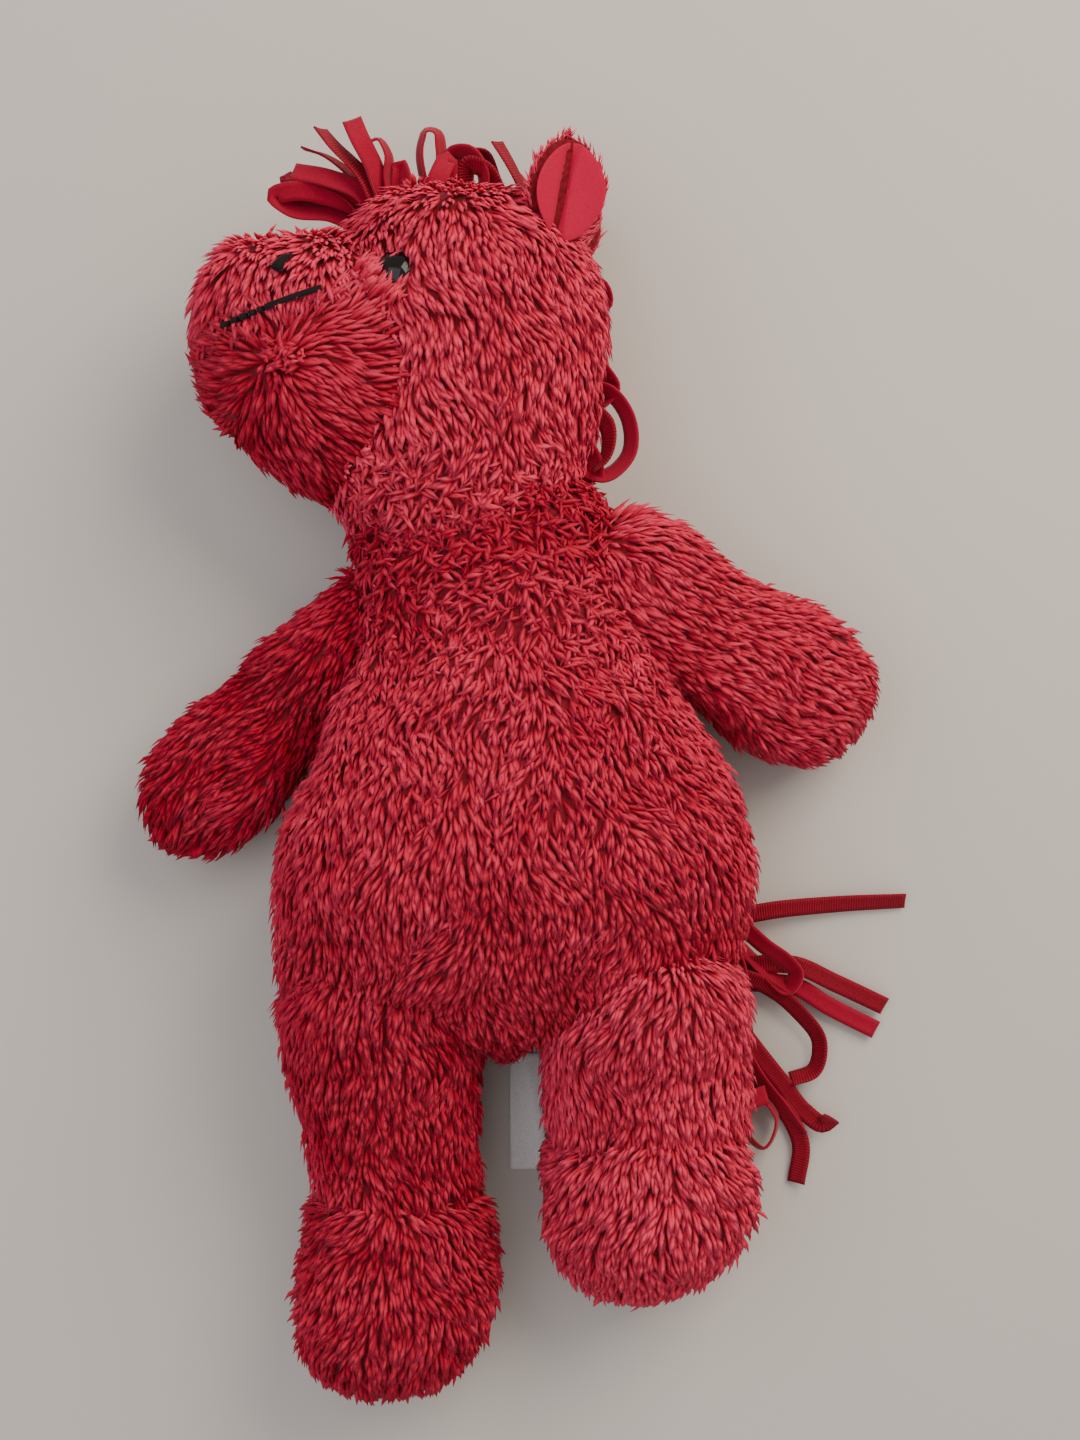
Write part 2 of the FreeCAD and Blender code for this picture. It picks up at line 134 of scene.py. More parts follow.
def ripple(points: Rows, size: float, seed: int) -> Rows:
    """Return smooth pseudo-random values between about -1 and 1.

    Args:
        points: Places in mm.
        size: Typical distance between a high and the next, in mm.
        seed: Which pattern.

    Returns:
        One value a place.
    """
    rng = np.random.default_rng(seed)
    total = np.zeros(len(points))
    for _ in range(7):
        way = rng.normal(size=3)
        way *= 2 * math.pi / (size * np.linalg.norm(way)) * rng.uniform(0.7, 1.5)
        total += np.cos(points @ way + rng.uniform(0, 2 * math.pi))
    return total / math.sqrt(7 / 2) / 1.6


def unit(rows: Rows) -> Rows:
    """Scale each row to length one.

    Args:
        rows: The rows to scale.

    Returns:
        The rows at length one.
    """
    return rows / np.maximum(np.linalg.norm(rows, axis=1, keepdims=True), 1e-9)


# ---------------------------------------------------------------- finishes
def linear(colour: str) -> tuple[float, float, float, float]:
    """Turn an sRGB hex colour into the renderer's linear one.

    Args:
        colour: A colour such as "#a01020".

    Returns:
        Linear red, green, blue and a full alpha.
    """
    parts = [int(colour[i : i + 2], 16) / 255 for i in (1, 3, 5)]
    out = [c / 12.92 if c <= 0.04045 else ((c + 0.055) / 1.055) ** 2.4 for c in parts]
    return (out[0], out[1], out[2], 1.0)


def add_node(tree: bpy.types.NodeTree, kind: str, settings: dict, inputs: dict) -> bpy.types.Node:
    """Add a node with its settings, values and links.

    Args:
        tree: The material's node tree.
        kind: The node's type name.
        settings: Attributes to set on the node.
        inputs: Socket values; a (node, socket) pair makes a link.

    Returns:
        The new node.
    """
    node = tree.nodes.new(kind)
    for name, value in settings.items():
        setattr(node, name, value)
    for name, value in inputs.items():
        if isinstance(value, tuple) and isinstance(value[0], bpy.types.Node):
            tree.links.new(value[0].outputs[value[1]], node.inputs[name])
        else:
            node.inputs[name].default_value = value
    return node


def paint_ramp(node: bpy.types.Node, stops: Sequence[tuple[float, str]]) -> None:
    """Give a colour ramp its stops.

    Args:
        node: The ramp.
        stops: Positions and hex colours, in rising order.
    """
    ramp = node.color_ramp
    while len(ramp.elements) < len(stops):
        ramp.elements.new(0.5)
    for element, (place, colour) in zip(ramp.elements, stops):
        element.position = place
        element.color = linear(colour)


def blank_material(name: str) -> tuple[bpy.types.Material, bpy.types.Node]:
    """Start a material.

    Args:
        name: The real material's name.

    Returns:
        The material and its surface shader.
    """
    material = bpy.data.materials.new(name)
    material.use_nodes = True
    return material, material.node_tree.nodes["Principled BSDF"]


@dataclass(frozen=True)
class PileFinish:
    """Long polyester pile: dark where it leaves the cloth as painted shade between the locks, pale at the
    tips as painted light through the fibres.

    The fibres are fine and crimped, so light scatters in them: no gloss, a soft
    bloom at grazing angles.
    """

    # Each ramp runs from root to tip: its dark root is painted shade between the locks and its pale tip
    # painted light through the fibres. The dull and bright ramps, mixed by each lock's shade, give the pile's
    # own spread of tone and also paint lit and shaded parts.
    name: str = "polyester_long_pile"
    dull: tuple[tuple[float, str], ...] = (
        (0.0, "#6c0616"), (0.35, "#8c0a20"), (0.62, "#960d26"), (1.0, "#9a0f2a"))
    bright: tuple[tuple[float, str], ...] = (
        (0.0, "#a01730"), (0.35, "#c82c45"), (0.62, "#d43a56"), (1.0, "#da4560"))

    def make(self) -> bpy.types.Material:
        """Build the material from the shade and height in the fur's own map.

        Returns:
            The material.
        """
        material, surface = blank_material(self.name)
        tree = material.node_tree
        place = add_node(tree, "ShaderNodeUVMap", {"uv_map": PALETTE_MAP}, {})
        split = add_node(tree, "ShaderNodeSeparateXYZ", {}, {"Vector": (place, "UV")})
        height = add_node(tree, "ShaderNodeMapRange", {}, {
            "Value": (split, "Y"), "From Min": 0.0, "From Max": PALETTE_BAND})
        low = add_node(tree, "ShaderNodeValToRGB", {}, {"Fac": (height, "Result")})
        paint_ramp(low, self.dull)
        high = add_node(tree, "ShaderNodeValToRGB", {}, {"Fac": (height, "Result")})
        paint_ramp(high, self.bright)
        blend = add_node(tree, "ShaderNodeMix", {"data_type": "RGBA"}, {"Factor": (split, "X")})
        tree.links.new(low.outputs["Color"], blend.inputs[6])
        tree.links.new(high.outputs["Color"], blend.inputs[7])
        tree.links.new(blend.outputs[2], surface.inputs["Base Color"])
        surface.inputs["Roughness"].default_value = 0.78
        surface.inputs["Specular IOR Level"].default_value = 0.05
        surface.inputs["Sheen Weight"].default_value = 0.02
        surface.inputs["Sheen Roughness"].default_value = 0.5
        surface.inputs["Sheen Tint"].default_value = linear("#ffb4bc")
        surface.inputs["Subsurface Weight"].default_value = 0.35
        surface.inputs["Subsurface Radius"].default_value = (1.0, 0.25, 0.3)
        surface.inputs["Subsurface Scale"].default_value = 1.2 * MM
        return material


@dataclass(frozen=True)
class ClothFinish:
    """A dyed cloth seen close: two tones, a grain and a little bloom."""

    name: str
    deep: str
    light: str
    grain_mm: float
    bump: float
    roughness: float = 0.85
    sheen: float = 0.25
    rib_mm: float = 0.0

    def make(self) -> bpy.types.Material:
        """Build the material; ribs, if any, cross the piece's own map and darken its colour between them as
        painted shade.

        Returns:
            The material.
        """
        material, surface = blank_material(self.name)
        tree = material.node_tree
        where = add_node(tree, "ShaderNodeTexCoord", {}, {})
        grain = add_node(tree, "ShaderNodeTexNoise", {}, {
            "Vector": (where, "Object"), "Scale": 1.0 / (self.grain_mm * MM), "Detail": 3.0})
        tone = add_node(tree, "ShaderNodeValToRGB", {}, {"Fac": (grain, "Fac")})
        paint_ramp(tone, ((0.3, self.deep), (0.7, self.light)))
        relief = (grain, "Fac")
        if self.rib_mm:
            run = add_node(tree, "ShaderNodeUVMap", {"uv_map": "length"}, {})
            ribs = add_node(tree, "ShaderNodeTexWave", {"bands_direction": "Y"}, {
                "Vector": (run, "UV"), "Scale": math.pi / (10.0 * self.rib_mm * MM), "Distortion": 0.0})
            # Painted shade: the ribs darken the colour in the grooves between them.
            shade = add_node(tree, "ShaderNodeMix", {"data_type": "RGBA", "blend_type": "MULTIPLY"}, {})
            shade.inputs[0].default_value = 0.45
            tree.links.new(tone.outputs["Color"], shade.inputs[6])
            tree.links.new(ribs.outputs["Color"], shade.inputs[7])
            tree.links.new(shade.outputs[2], surface.inputs["Base Color"])
            relief = (ribs, "Fac")
        else:
            tree.links.new(tone.outputs["Color"], surface.inputs["Base Color"])
        bump = add_node(tree, "ShaderNodeBump", {}, {
            "Strength": self.bump, "Distance": 0.2 * MM, "Height": relief})
        tree.links.new(bump.outputs["Normal"], surface.inputs["Normal"])
        surface.inputs["Roughness"].default_value = self.roughness
        surface.inputs["Specular IOR Level"].default_value = 0.15
        surface.inputs["Sheen Weight"].default_value = self.sheen
        surface.inputs["Sheen Roughness"].default_value = 0.4
        surface.inputs["Sheen Tint"].default_value = linear("#ffc0c8")
        return material


@dataclass(frozen=True)
class PolishedFinish:
    """Tumble-polished acrylic of an eye bead: near black, with a clear glint."""

    name: str = "polished_black_acrylic"

    def make(self) -> bpy.types.Material:
        """Build the material with faint moulding marks in its gloss.

        Returns:
            The material.
        """
        material, surface = blank_material(self.name)
        tree = material.node_tree
        where = add_node(tree, "ShaderNodeTexCoord", {}, {})
        marks = add_node(tree, "ShaderNodeTexNoise", {}, {"Vector": (where, "Object"), "Scale": 900.0})
        tone = add_node(tree, "ShaderNodeValToRGB", {}, {"Fac": (marks, "Fac")})
        paint_ramp(tone, ((0.2, "#060405"), (0.8, "#120a0b")))
        gloss = add_node(tree, "ShaderNodeMapRange", {}, {
            "Value": (marks, "Fac"), "To Min": 0.06, "To Max": 0.14})
        tree.links.new(tone.outputs["Color"], surface.inputs["Base Color"])
        tree.links.new(gloss.outputs["Result"], surface.inputs["Roughness"])
        surface.inputs["IOR"].default_value = 1.49
        surface.inputs["Specular IOR Level"].default_value = 0.3
        return material


class Finish(Enum):
    """The toy's finishes, one material each."""

    PILE = PileFinish()
    BACKING = ClothFinish("knitted_backing_cloth", "#4e050f", "#74101e", 1.6, 0.9)
    SUEDE = ClothFinish("brushed_suede_ribbon", "#7e0822", "#9a122e", 0.35, 0.25, 0.9, 0.2)
    GROSGRAIN = ClothFinish("grosgrain_ribbon", "#800a20", "#9c122c", 0.6, 0.8, 0.7, 0.1, 0.9)
    VELOUR = ClothFinish("short_velour", "#98062c", "#b00a38", 0.3, 0.2, 0.8, 0.2)
    THREAD = ClothFinish("black_cotton_thread", "#070506", "#1a1315", 0.25, 0.6, 0.75, 0.15)
    SATIN = ClothFinish("white_satin_tape", "#c9c8c6", "#e6e5e2", 0.4, 0.15, 0.45, 0.1)
    RED_THREAD = ClothFinish("crimson_polyester_thread", "#5a0a18", "#7a1224", 0.3, 0.4)
    CANVAS = ClothFinish("unbleached_cotton", "#b8b2a2", "#d2ccbc", 0.5, 0.4)
    BEADS = ClothFinish("polyethylene_beads", "#c4c4c2", "#e0e0de", 2.4, 0.9, 0.5, 0.0)
    POLISHED = PolishedFinish()

    @property
    def material(self) -> bpy.types.Material:
        """The finish's material, built the first time it is asked for.

        Returns:
            The material.
        """
        return bpy.data.materials.get(self.value.name) or self.value.make()


# ---------------------------------------------------------------- soft forms
@dataclass(frozen=True)
class Station:
    """One cross-section of a stuffed form, in mm.

    Attributes:
        along: Distance from the form's first end.
        across: Shift of the middle to the side.
        up: Shift of the middle upwards.
        half_width: Half of the width.
        half_depth: Half of the depth.
    """

    along: float
    across: float
    up: float
    half_width: float
    half_depth: float


@dataclass
class Form:
    """A stuffed, round-ended form sewn from cloth.

    Attributes:
        name: The piece's name.
        body: The body that it rides on.
        start: One end of its middle line, in mm.
        way: Direction of the middle line.
        stations: Its cross-sections.
        lumps: Height of the stuffing's lumps, in mm.
        seed: Which lumps.
        square: 1 for oval sections, less for fuller ones.
    """

    name: str
    body: str
    start: Vector
    way: Vector
    stations: Sequence[Station]
    lumps: float = 0.8
    seed: int = SEED
    square: float = 0.94

    def shape(self, ball: Rows) -> Rows:
        """Map a unit ball's points onto the form, in mm.

        Args:
            ball: A unit ball's points.

        Returns:
            Their places on the form, in mm.
        """
        rows = self.stations
        knots = [r.along for r in rows]
        span = knots[-1] - knots[0]
        along = knots[0] + (ball[:, 2] + 1) / 2 * span
        ring = np.maximum(np.linalg.norm(ball[:, :2], axis=1), 1e-9)
        wide = eased(along, knots, [(r.half_width + PLUMP) ** 2 * (r.half_width > 0) for r in rows])
        deep = eased(along, knots, [(r.half_depth + PLUMP) ** 2 * (r.half_depth > 0) for r in rows])
        round_x, round_y = ball[:, 0] / ring, ball[:, 1] / ring
        wide = np.sqrt(np.maximum(wide, 0)) * np.sign(round_x) * np.abs(round_x) ** self.square
        deep = np.sqrt(np.maximum(deep, 0)) * np.sign(round_y) * np.abs(round_y) ** self.square
        wide = wide + eased(along, knots, [r.across for r in rows])
        deep = deep + eased(along, knots, [r.up for r in rows])
        way = np.array(self.way.normalized())
        up = np.array([0.0, 0.0, 1.0]) - way * way[2]
        up /= np.linalg.norm(up)
        side = np.cross(way, up)
        points = np.array(self.start) + np.outer(along, way) + np.outer(wide, side)
        return points + np.outer(deep, up)

    def make(self) -> bpy.types.Object:
        """Build the form's skin and rest it on the floor.

        Returns:
            The piece.
        """
        shell = bmesh.new()
        bmesh.ops.create_uvsphere(shell, u_segments=56, v_segments=44, radius=1.0)
        ball = np.array([v.co[:] for v in shell.verts])
        points = self.shape(ball)
        middle = points.mean(axis=0)
        points = points + unit(points - middle) * (ripple(points, 34.0, self.seed) * self.lumps)[:, None]
        low = points[:, 2] < FLOOR_CLEAR
        points[low, 2] = FLOOR_CLEAR + (points[low, 2] - FLOOR_CLEAR) * 0.08
        for vert, point in zip(shell.verts, points):
            vert.co = point * MM
        bmesh.ops.smooth_vert(
            shell, verts=shell.verts, factor=0.4, use_axis_x=True, use_axis_y=True, use_axis_z=True)
        bmesh.ops.recalc_face_normals(shell, faces=shell.faces)
        return finish_mesh(shell, self.name, self.body, Finish.BACKING)


def ordered_mesh(shell: bmesh.types.BMesh, name: str) -> bpy.types.Mesh:
    """Store a bmesh with its faces in a fixed order.

    The operators hand faces back in an order that changes from run to run, and
    the pile is scattered face by face, so without this each run would grow
    another arrangement of locks.

    Args:
        shell: The shape, in metres.
        name: The mesh's name.

    Returns:
        The mesh, with the shape's own map if it has one.
    """
    shell.verts.index_update()
    rings = [list(face.loops) for face in shell.faces]
    rings.sort(key=lambda ring: sorted(loop.vert.index for loop in ring))
    corners = [[loop.vert.index for loop in ring] for ring in rings]
    mesh = bpy.data.meshes.new(name)
    mesh.from_pydata([v.co[:] for v in shell.verts], [], corners)
    layer = shell.loops.layers.uv.active
    if layer is not None:
        run = mesh.uv_layers.new(name=layer.name)
        run.data.foreach_set("uv", [c for ring in rings for loop in ring for c in loop[layer].uv])
    return mesh


def finish_mesh(shell: bmesh.types.BMesh, name: str, body: str, *finishes: Finish) -> bpy.types.Object:
    """Turn a bmesh into a smooth piece that rides on a body.

    Args:
        shell: The shape, in metres.
        name: The piece's name.
        body: The body's name.
        finishes: Materials, in slot order.

    Returns:
        The new piece.
    """
    mesh = ordered_mesh(shell, name)
    shell.free()
    for polygon in mesh.polygons:
        polygon.use_smooth = True
    piece = bpy.data.objects.new(name, mesh)
    bpy.context.scene.collection.objects.link(piece)
    for one in finishes:
        mesh.materials.append(one.material)
    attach(piece, body)
    return piece


# ---------------------------------------------------------------- fur
def lock_template() -> tuple[Rows, Rows]:
    """Model one lock of pile: a three-sided taper with a bend in it.

    Returns:
        Its points, with height 0 to 1 along z, and its triangles.
    """
    lock = bmesh.new()
    bmesh.ops.create_cone(lock, segments=3, radius1=1.0, radius2=0.0, depth=1.0, cap_ends=False)
    bmesh.ops.translate(lock, verts=lock.verts, vec=(0, 0, 0.5))
    bmesh.ops.bisect_plane(
        lock, geom=lock.verts[:] + lock.edges[:] + lock.faces[:], plane_co=(0, 0, BLUNT), plane_no=(0, 0, 1))
    bmesh.ops.remove_doubles(lock, verts=lock.verts, dist=1e-5)
    bmesh.ops.triangulate(lock, faces=lock.faces)
    lock.verts.index_update()
    points = np.array([v.co[:] for v in lock.verts])
    faces = np.array([[v.index for v in f.verts] for f in lock.faces])
    lock.free()
    ring = np.abs(points[:, 2] - BLUNT) < 0.01
    points[:, :2] *= np.where(ring, 1.0 / (1.0 - BLUNT), 0.7)[:, None]
    return points, faces


Nap = Callable[[Rows], Rows]


@dataclass
class Coat:
    """Long pile grown on a form.

    Attributes:
        name: The piece's name.
        skin: The form's piece.
        body: The body that it rides on.
        nap: Direction in which the pile is brushed, for places in mm.
        spacing: Distance between locks, in mm.
        length: Length of a lock, in mm.
        width: Half width of a lock, in mm.
        shade: Mean shade, 0 dull to 1 bright; lowered on shaded parts as painted shade and raised on lit
            parts as painted light.
        stand: How upright the pile stands, 0 flat to 1.
        unruly: How far locks stray from the nap.
        seed: Which arrangement.
        hidden_by: Neighbours, each with the depth in mm past which no pile grows.
        bare: Spots without pile, each a place and a radius in mm.
        wild: How much more the pile strays, for places in mm.
        zone: Which places in mm have pile.
        tone: What is added to the shade, for places in mm: painted shade at the neck and below the mouth.
    """

    name: str
    skin: bpy.types.Object
    body: str
    nap: Nap
    spacing: float = 1.95
    length: float = 9.0
    width: float = 1.05
    shade: float = 0.45
    stand: float = 0.36
    unruly: float = 0.25
    seed: int = SEED
    hidden_by: Sequence[tuple[bpy.types.Object, float]] = ()
    bare: Sequence[tuple[Vector, float]] = ()
    wild: Callable[[Rows], Rows] | None = None
    zone: Callable[[Rows], Rows] | None = None
    tone: Callable[[Rows], Rows] | None = None

    def roots(self) -> tuple[Rows, Rows]:
        """Scatter lock roots evenly over the skin, in mm, with its normals.

        Returns:
            The places in mm and the normals there.
        """
        mesh = self.skin.data
        mesh.calc_loop_triangles()
        points = np.empty(len(mesh.vertices) * 3)
        mesh.vertices.foreach_get("co", points)
        points = points.reshape(-1, 3) / MM
        normals = np.empty(len(mesh.vertices) * 3)
        mesh.vertices.foreach_get("normal", normals)
        normals = normals.reshape(-1, 3)
        faces = np.empty(len(mesh.loop_triangles) * 3, dtype=np.int32)
        mesh.loop_triangles.foreach_get("vertices", faces)
        faces = faces.reshape(-1, 3)
        a, b, c = (points[faces[:, k]] for k in range(3))
        areas = np.linalg.norm(np.cross(b - a, c - a), axis=1) / 2
        rng = np.random.default_rng(self.seed)
        count = int(areas.sum() / self.spacing**2 * 2.2)
        pick = rng.choice(len(faces), count, p=areas / areas.sum())
        r = np.sqrt(rng.random(count))
        s = rng.random(count)
        weights = np.stack([1 - r, r * (1 - s), r * s], axis=1)
        spots = sum(points[faces[pick, k]] * weights[:, k : k + 1] for k in range(3))
        outs = unit(sum(normals[faces[pick, k]] * weights[:, k : k + 1] for k in range(3)))
        under = outs[:, 2] < -0.55
        cell = np.where(under, self.spacing * 1.6, self.spacing)[:, None]
        keys = np.floor(spots / cell).astype(np.int64)
        code = keys[:, 0] * 73856093 ^ keys[:, 1] * 19349663 ^ keys[:, 2] * 83492791 ^ under
        _, first = np.unique(code, return_index=True)
        first.sort()
        return spots[first], outs[first]

    def cull(self, spots: Rows, outs: Rows) -> Rows:
        """Say which roots stay: not deep in a neighbour and not on a bare spot.

        Args:
            spots: Roots, in mm.
            outs: The skin's normals there; not used.

        Returns:
            Whether each root stays.
        """
        stay = np.ones(len(spots), bool) if self.zone is None else self.zone(spots)
        for neighbour, depth in self.hidden_by:
            tree = BVHTree.FromPolygons(
                [v.co[:] for v in neighbour.data.vertices], [p.vertices[:] for p in neighbour.data.polygons])
            for i in np.nonzero(stay)[0]:
                spot = Vector(spots[i]) * MM
                near, normal, _, distance = tree.find_nearest(spot, 0.06)
                if near is not None and (spot - near).dot(normal) < 0 and distance > depth * MM:
                    stay[i] = False
        for middle, radius in self.bare:
            stay &= np.linalg.norm(spots - np.array(middle), axis=1) > radius
        return stay

    def grow(self) -> bpy.types.Object:
        """Grow the locks and return the fur piece.

        Returns:
            The piece.
        """
        spots, outs = self.roots()
        stay = self.cull(spots, outs)
        spots, outs = spots[stay], outs[stay]
        count = len(spots)
        rng = np.random.default_rng(self.seed + 1)
        rough = np.full(count, self.unruly)
        if self.wild is not None:
            rough = rough + self.wild(spots)
        brushed = unit(self.nap(spots))
        brushed = brushed - outs * (brushed * outs).sum(axis=1, keepdims=True)
        brushed = unit(brushed + 1e-4)
        side = np.cross(outs, brushed)
        sway = ripple(spots, 26.0, self.seed + 2) * 0.35 + ripple(spots, 5.5, self.seed + 3) * 1.25 * rough
        sway += rng.normal(size=count) * 0.3 * rough
        turn = np.cos(sway)[:, None], np.sin(sway)[:, None]
        comb = brushed * turn[0] + side * turn[1]
        side = np.cross(outs, comb)
        lean = self.stand + 0.16 * ripple(spots, 4.5, self.seed + 4) + 0.10 * rng.normal(size=count)
        lean = np.clip(lean, 0.06, 0.9)
        long = self.length * (1 + 0.16 * ripple(spots, 8.0, self.seed + 5) + 0.10 * rng.normal(size=count))
        wide = self.width * rng.uniform(0.75, 1.3, count)
        points, faces = lock_template()
        v = points[:, 2]
        rise = (lean[:, None] * 1.25) * v * (1 - 0.42 * v)
        run = v ** 1.15
        level = np.sqrt(np.maximum(1 - lean**2, 0.1))
        middle = (
            spots[:, None, :]
            + outs[:, None, :] * (long[:, None] * rise - 0.4)[:, :, None]
            + comb[:, None, :] * (long[:, None] * run * level[:, None])[:, :, None]
        )
        flat = outs * 0.75 - comb * 0.5
        verts = (
            middle
            + side[:, None, :] * (wide[:, None] * points[:, 0])[:, :, None]
            + flat[:, None, :] * (wide[:, None] * points[:, 1] * 0.55)[:, :, None]
        ).reshape(-1, 3)
        verts[:, 2] = np.maximum(verts[:, 2], 0.15)
        index = (faces[None] + (np.arange(count) * len(points))[:, None, None]).reshape(-1, 3)
        # The ripples and the random part are the pile's own spread of tone; the coat's mean shade and its
        # tone also carry painted light and shade.
        shade = self.shade + 0.13 * ripple(spots, 30.0, self.seed + 6)
        shade = shade + 0.08 * ripple(spots, 6.0, self.seed + 7)
        shade = shade + (0.0 if self.tone is None else self.tone(spots))
        shade = np.clip(shade + 0.07 * rng.normal(size=count), 0.03, 0.97)
        pixel = 1.5 / 1024
        corner = np.array([-pixel, 0.0, pixel])[np.arange(len(points)) % 3]
        u = (shade[:, None] + corner[None]).ravel()
        h = np.tile(v * (PALETTE_BAND * 0.96) + 0.004, count)
        return self.weave(verts * MM, index, np.stack([u, h], axis=1))

    def weave(self, verts: Rows, index: Rows, place: Rows) -> bpy.types.Object:
        """Store the grown locks as one mesh.

        Repeating one small lock tens of thousands of times is done on arrays,
        because an operator call for each would take many minutes.

        Args:
            verts: Points, in metres.
            index: Triangles.
            place: The points' places in the fur's map.

        Returns:
            The piece.
        """
        mesh = bpy.data.meshes.new(self.name)
        mesh.vertices.add(len(verts))
        mesh.vertices.foreach_set("co", verts.ravel())
        mesh.loops.add(index.size)
        mesh.loops.foreach_set("vertex_index", index.ravel())
        mesh.polygons.add(len(index))
        mesh.polygons.foreach_set("loop_start", np.arange(0, index.size, 3))
        mesh.update(calc_edges=True)
        layer = mesh.uv_layers.new(name=PALETTE_MAP)
        layer.data.foreach_set("uv", place[index.ravel()].ravel())
        mesh.polygons.foreach_set("use_smooth", np.ones(len(index), bool))
        mesh.materials.append(Finish.PILE.material)
        piece = bpy.data.objects.new(self.name, mesh)
        bpy.context.scene.collection.objects.link(piece)
        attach(piece, self.body)
        log.info("%s: %d locks", self.name, len(index) // 9)
        return piece


def combed(way: Sequence[float], drift: float = 0.0) -> Nap:
    """Make a nap that lies one way, with a slow drift to either side.

    Args:
        way: The direction.
        drift: How far it wanders, as a share of its length.

    Returns:
        The nap.
    """

    def nap(places: Rows) -> Rows:
        """Give the combed direction, with its drift.

        Args:
            places: Places in mm.

        Returns:
            The way the pile lies at each place.
        """
        lie = np.tile(np.array(way, float), (len(places), 1))
        wander = ripple(places, 60.0, 5) * drift
        return lie + np.stack([-lie[:, 1] * wander, lie[:, 0] * wander, 0 * wander], axis=1)

    return nap


def radiating(source: Vector, along: Sequence[float] = (0, 0, 0)) -> Nap:
    """Make a nap that leaves a point, with a steady pull added.

    Args:
        source: The point, in mm.
        along: The pull, against a spread of length one.

    Returns:
        The nap.
    """
    return lambda places: unit(places - np.array(source)) + np.array(along, float)


@dataclass
class Muzzle:
    """How the muzzle's pile lies: downwards above the mouth, a whorl below it."""

    whorl: Vector
    corner: Vector
    front: Vector

    def nap(self, places: Rows) -> Rows:
        """Return the nap's direction at places in mm.

        Args:
            places: Places in mm.

        Returns:
            The way the pile lies at each place.
        """
        slope = (self.front.y - self.corner.y) / (self.front.x - self.corner.x)
        line = self.corner.y + slope * (places[:, 0] - self.corner.x)
        above = 1 / (1 + np.exp(-(places[:, 1] - line) / 1.2))
        below = places - np.array(self.whorl)
        below[:, 2] *= 0.4
        down = np.tile(np.array([0.08, -1.0, 0.0]), (len(places), 1))
        return unit(below) * (1 - above[:, None]) + down * above[:, None]


# ---------------------------------------------------------------- ribbons
def through(points: Sequence[Vector], step: float) -> list[Vector]:
    """Follow a smooth line through points in even steps.

    Args:
        points: The points, in mm.
        step: Distance between the returned ones.

    Returns:
        Points along the line.
    """
    rows = np.array([p[:] for p in points])
    knots = np.concatenate([[0], np.cumsum(np.linalg.norm(np.diff(rows, axis=0), axis=1))])
    count = max(int(knots[-1] / step), 4)
    at = np.linspace(0, knots[-1], count + 1)
    axes = [eased(at, knots, rows[:, k]) for k in range(3)]
    return [Vector(p) for p in zip(*axes)]


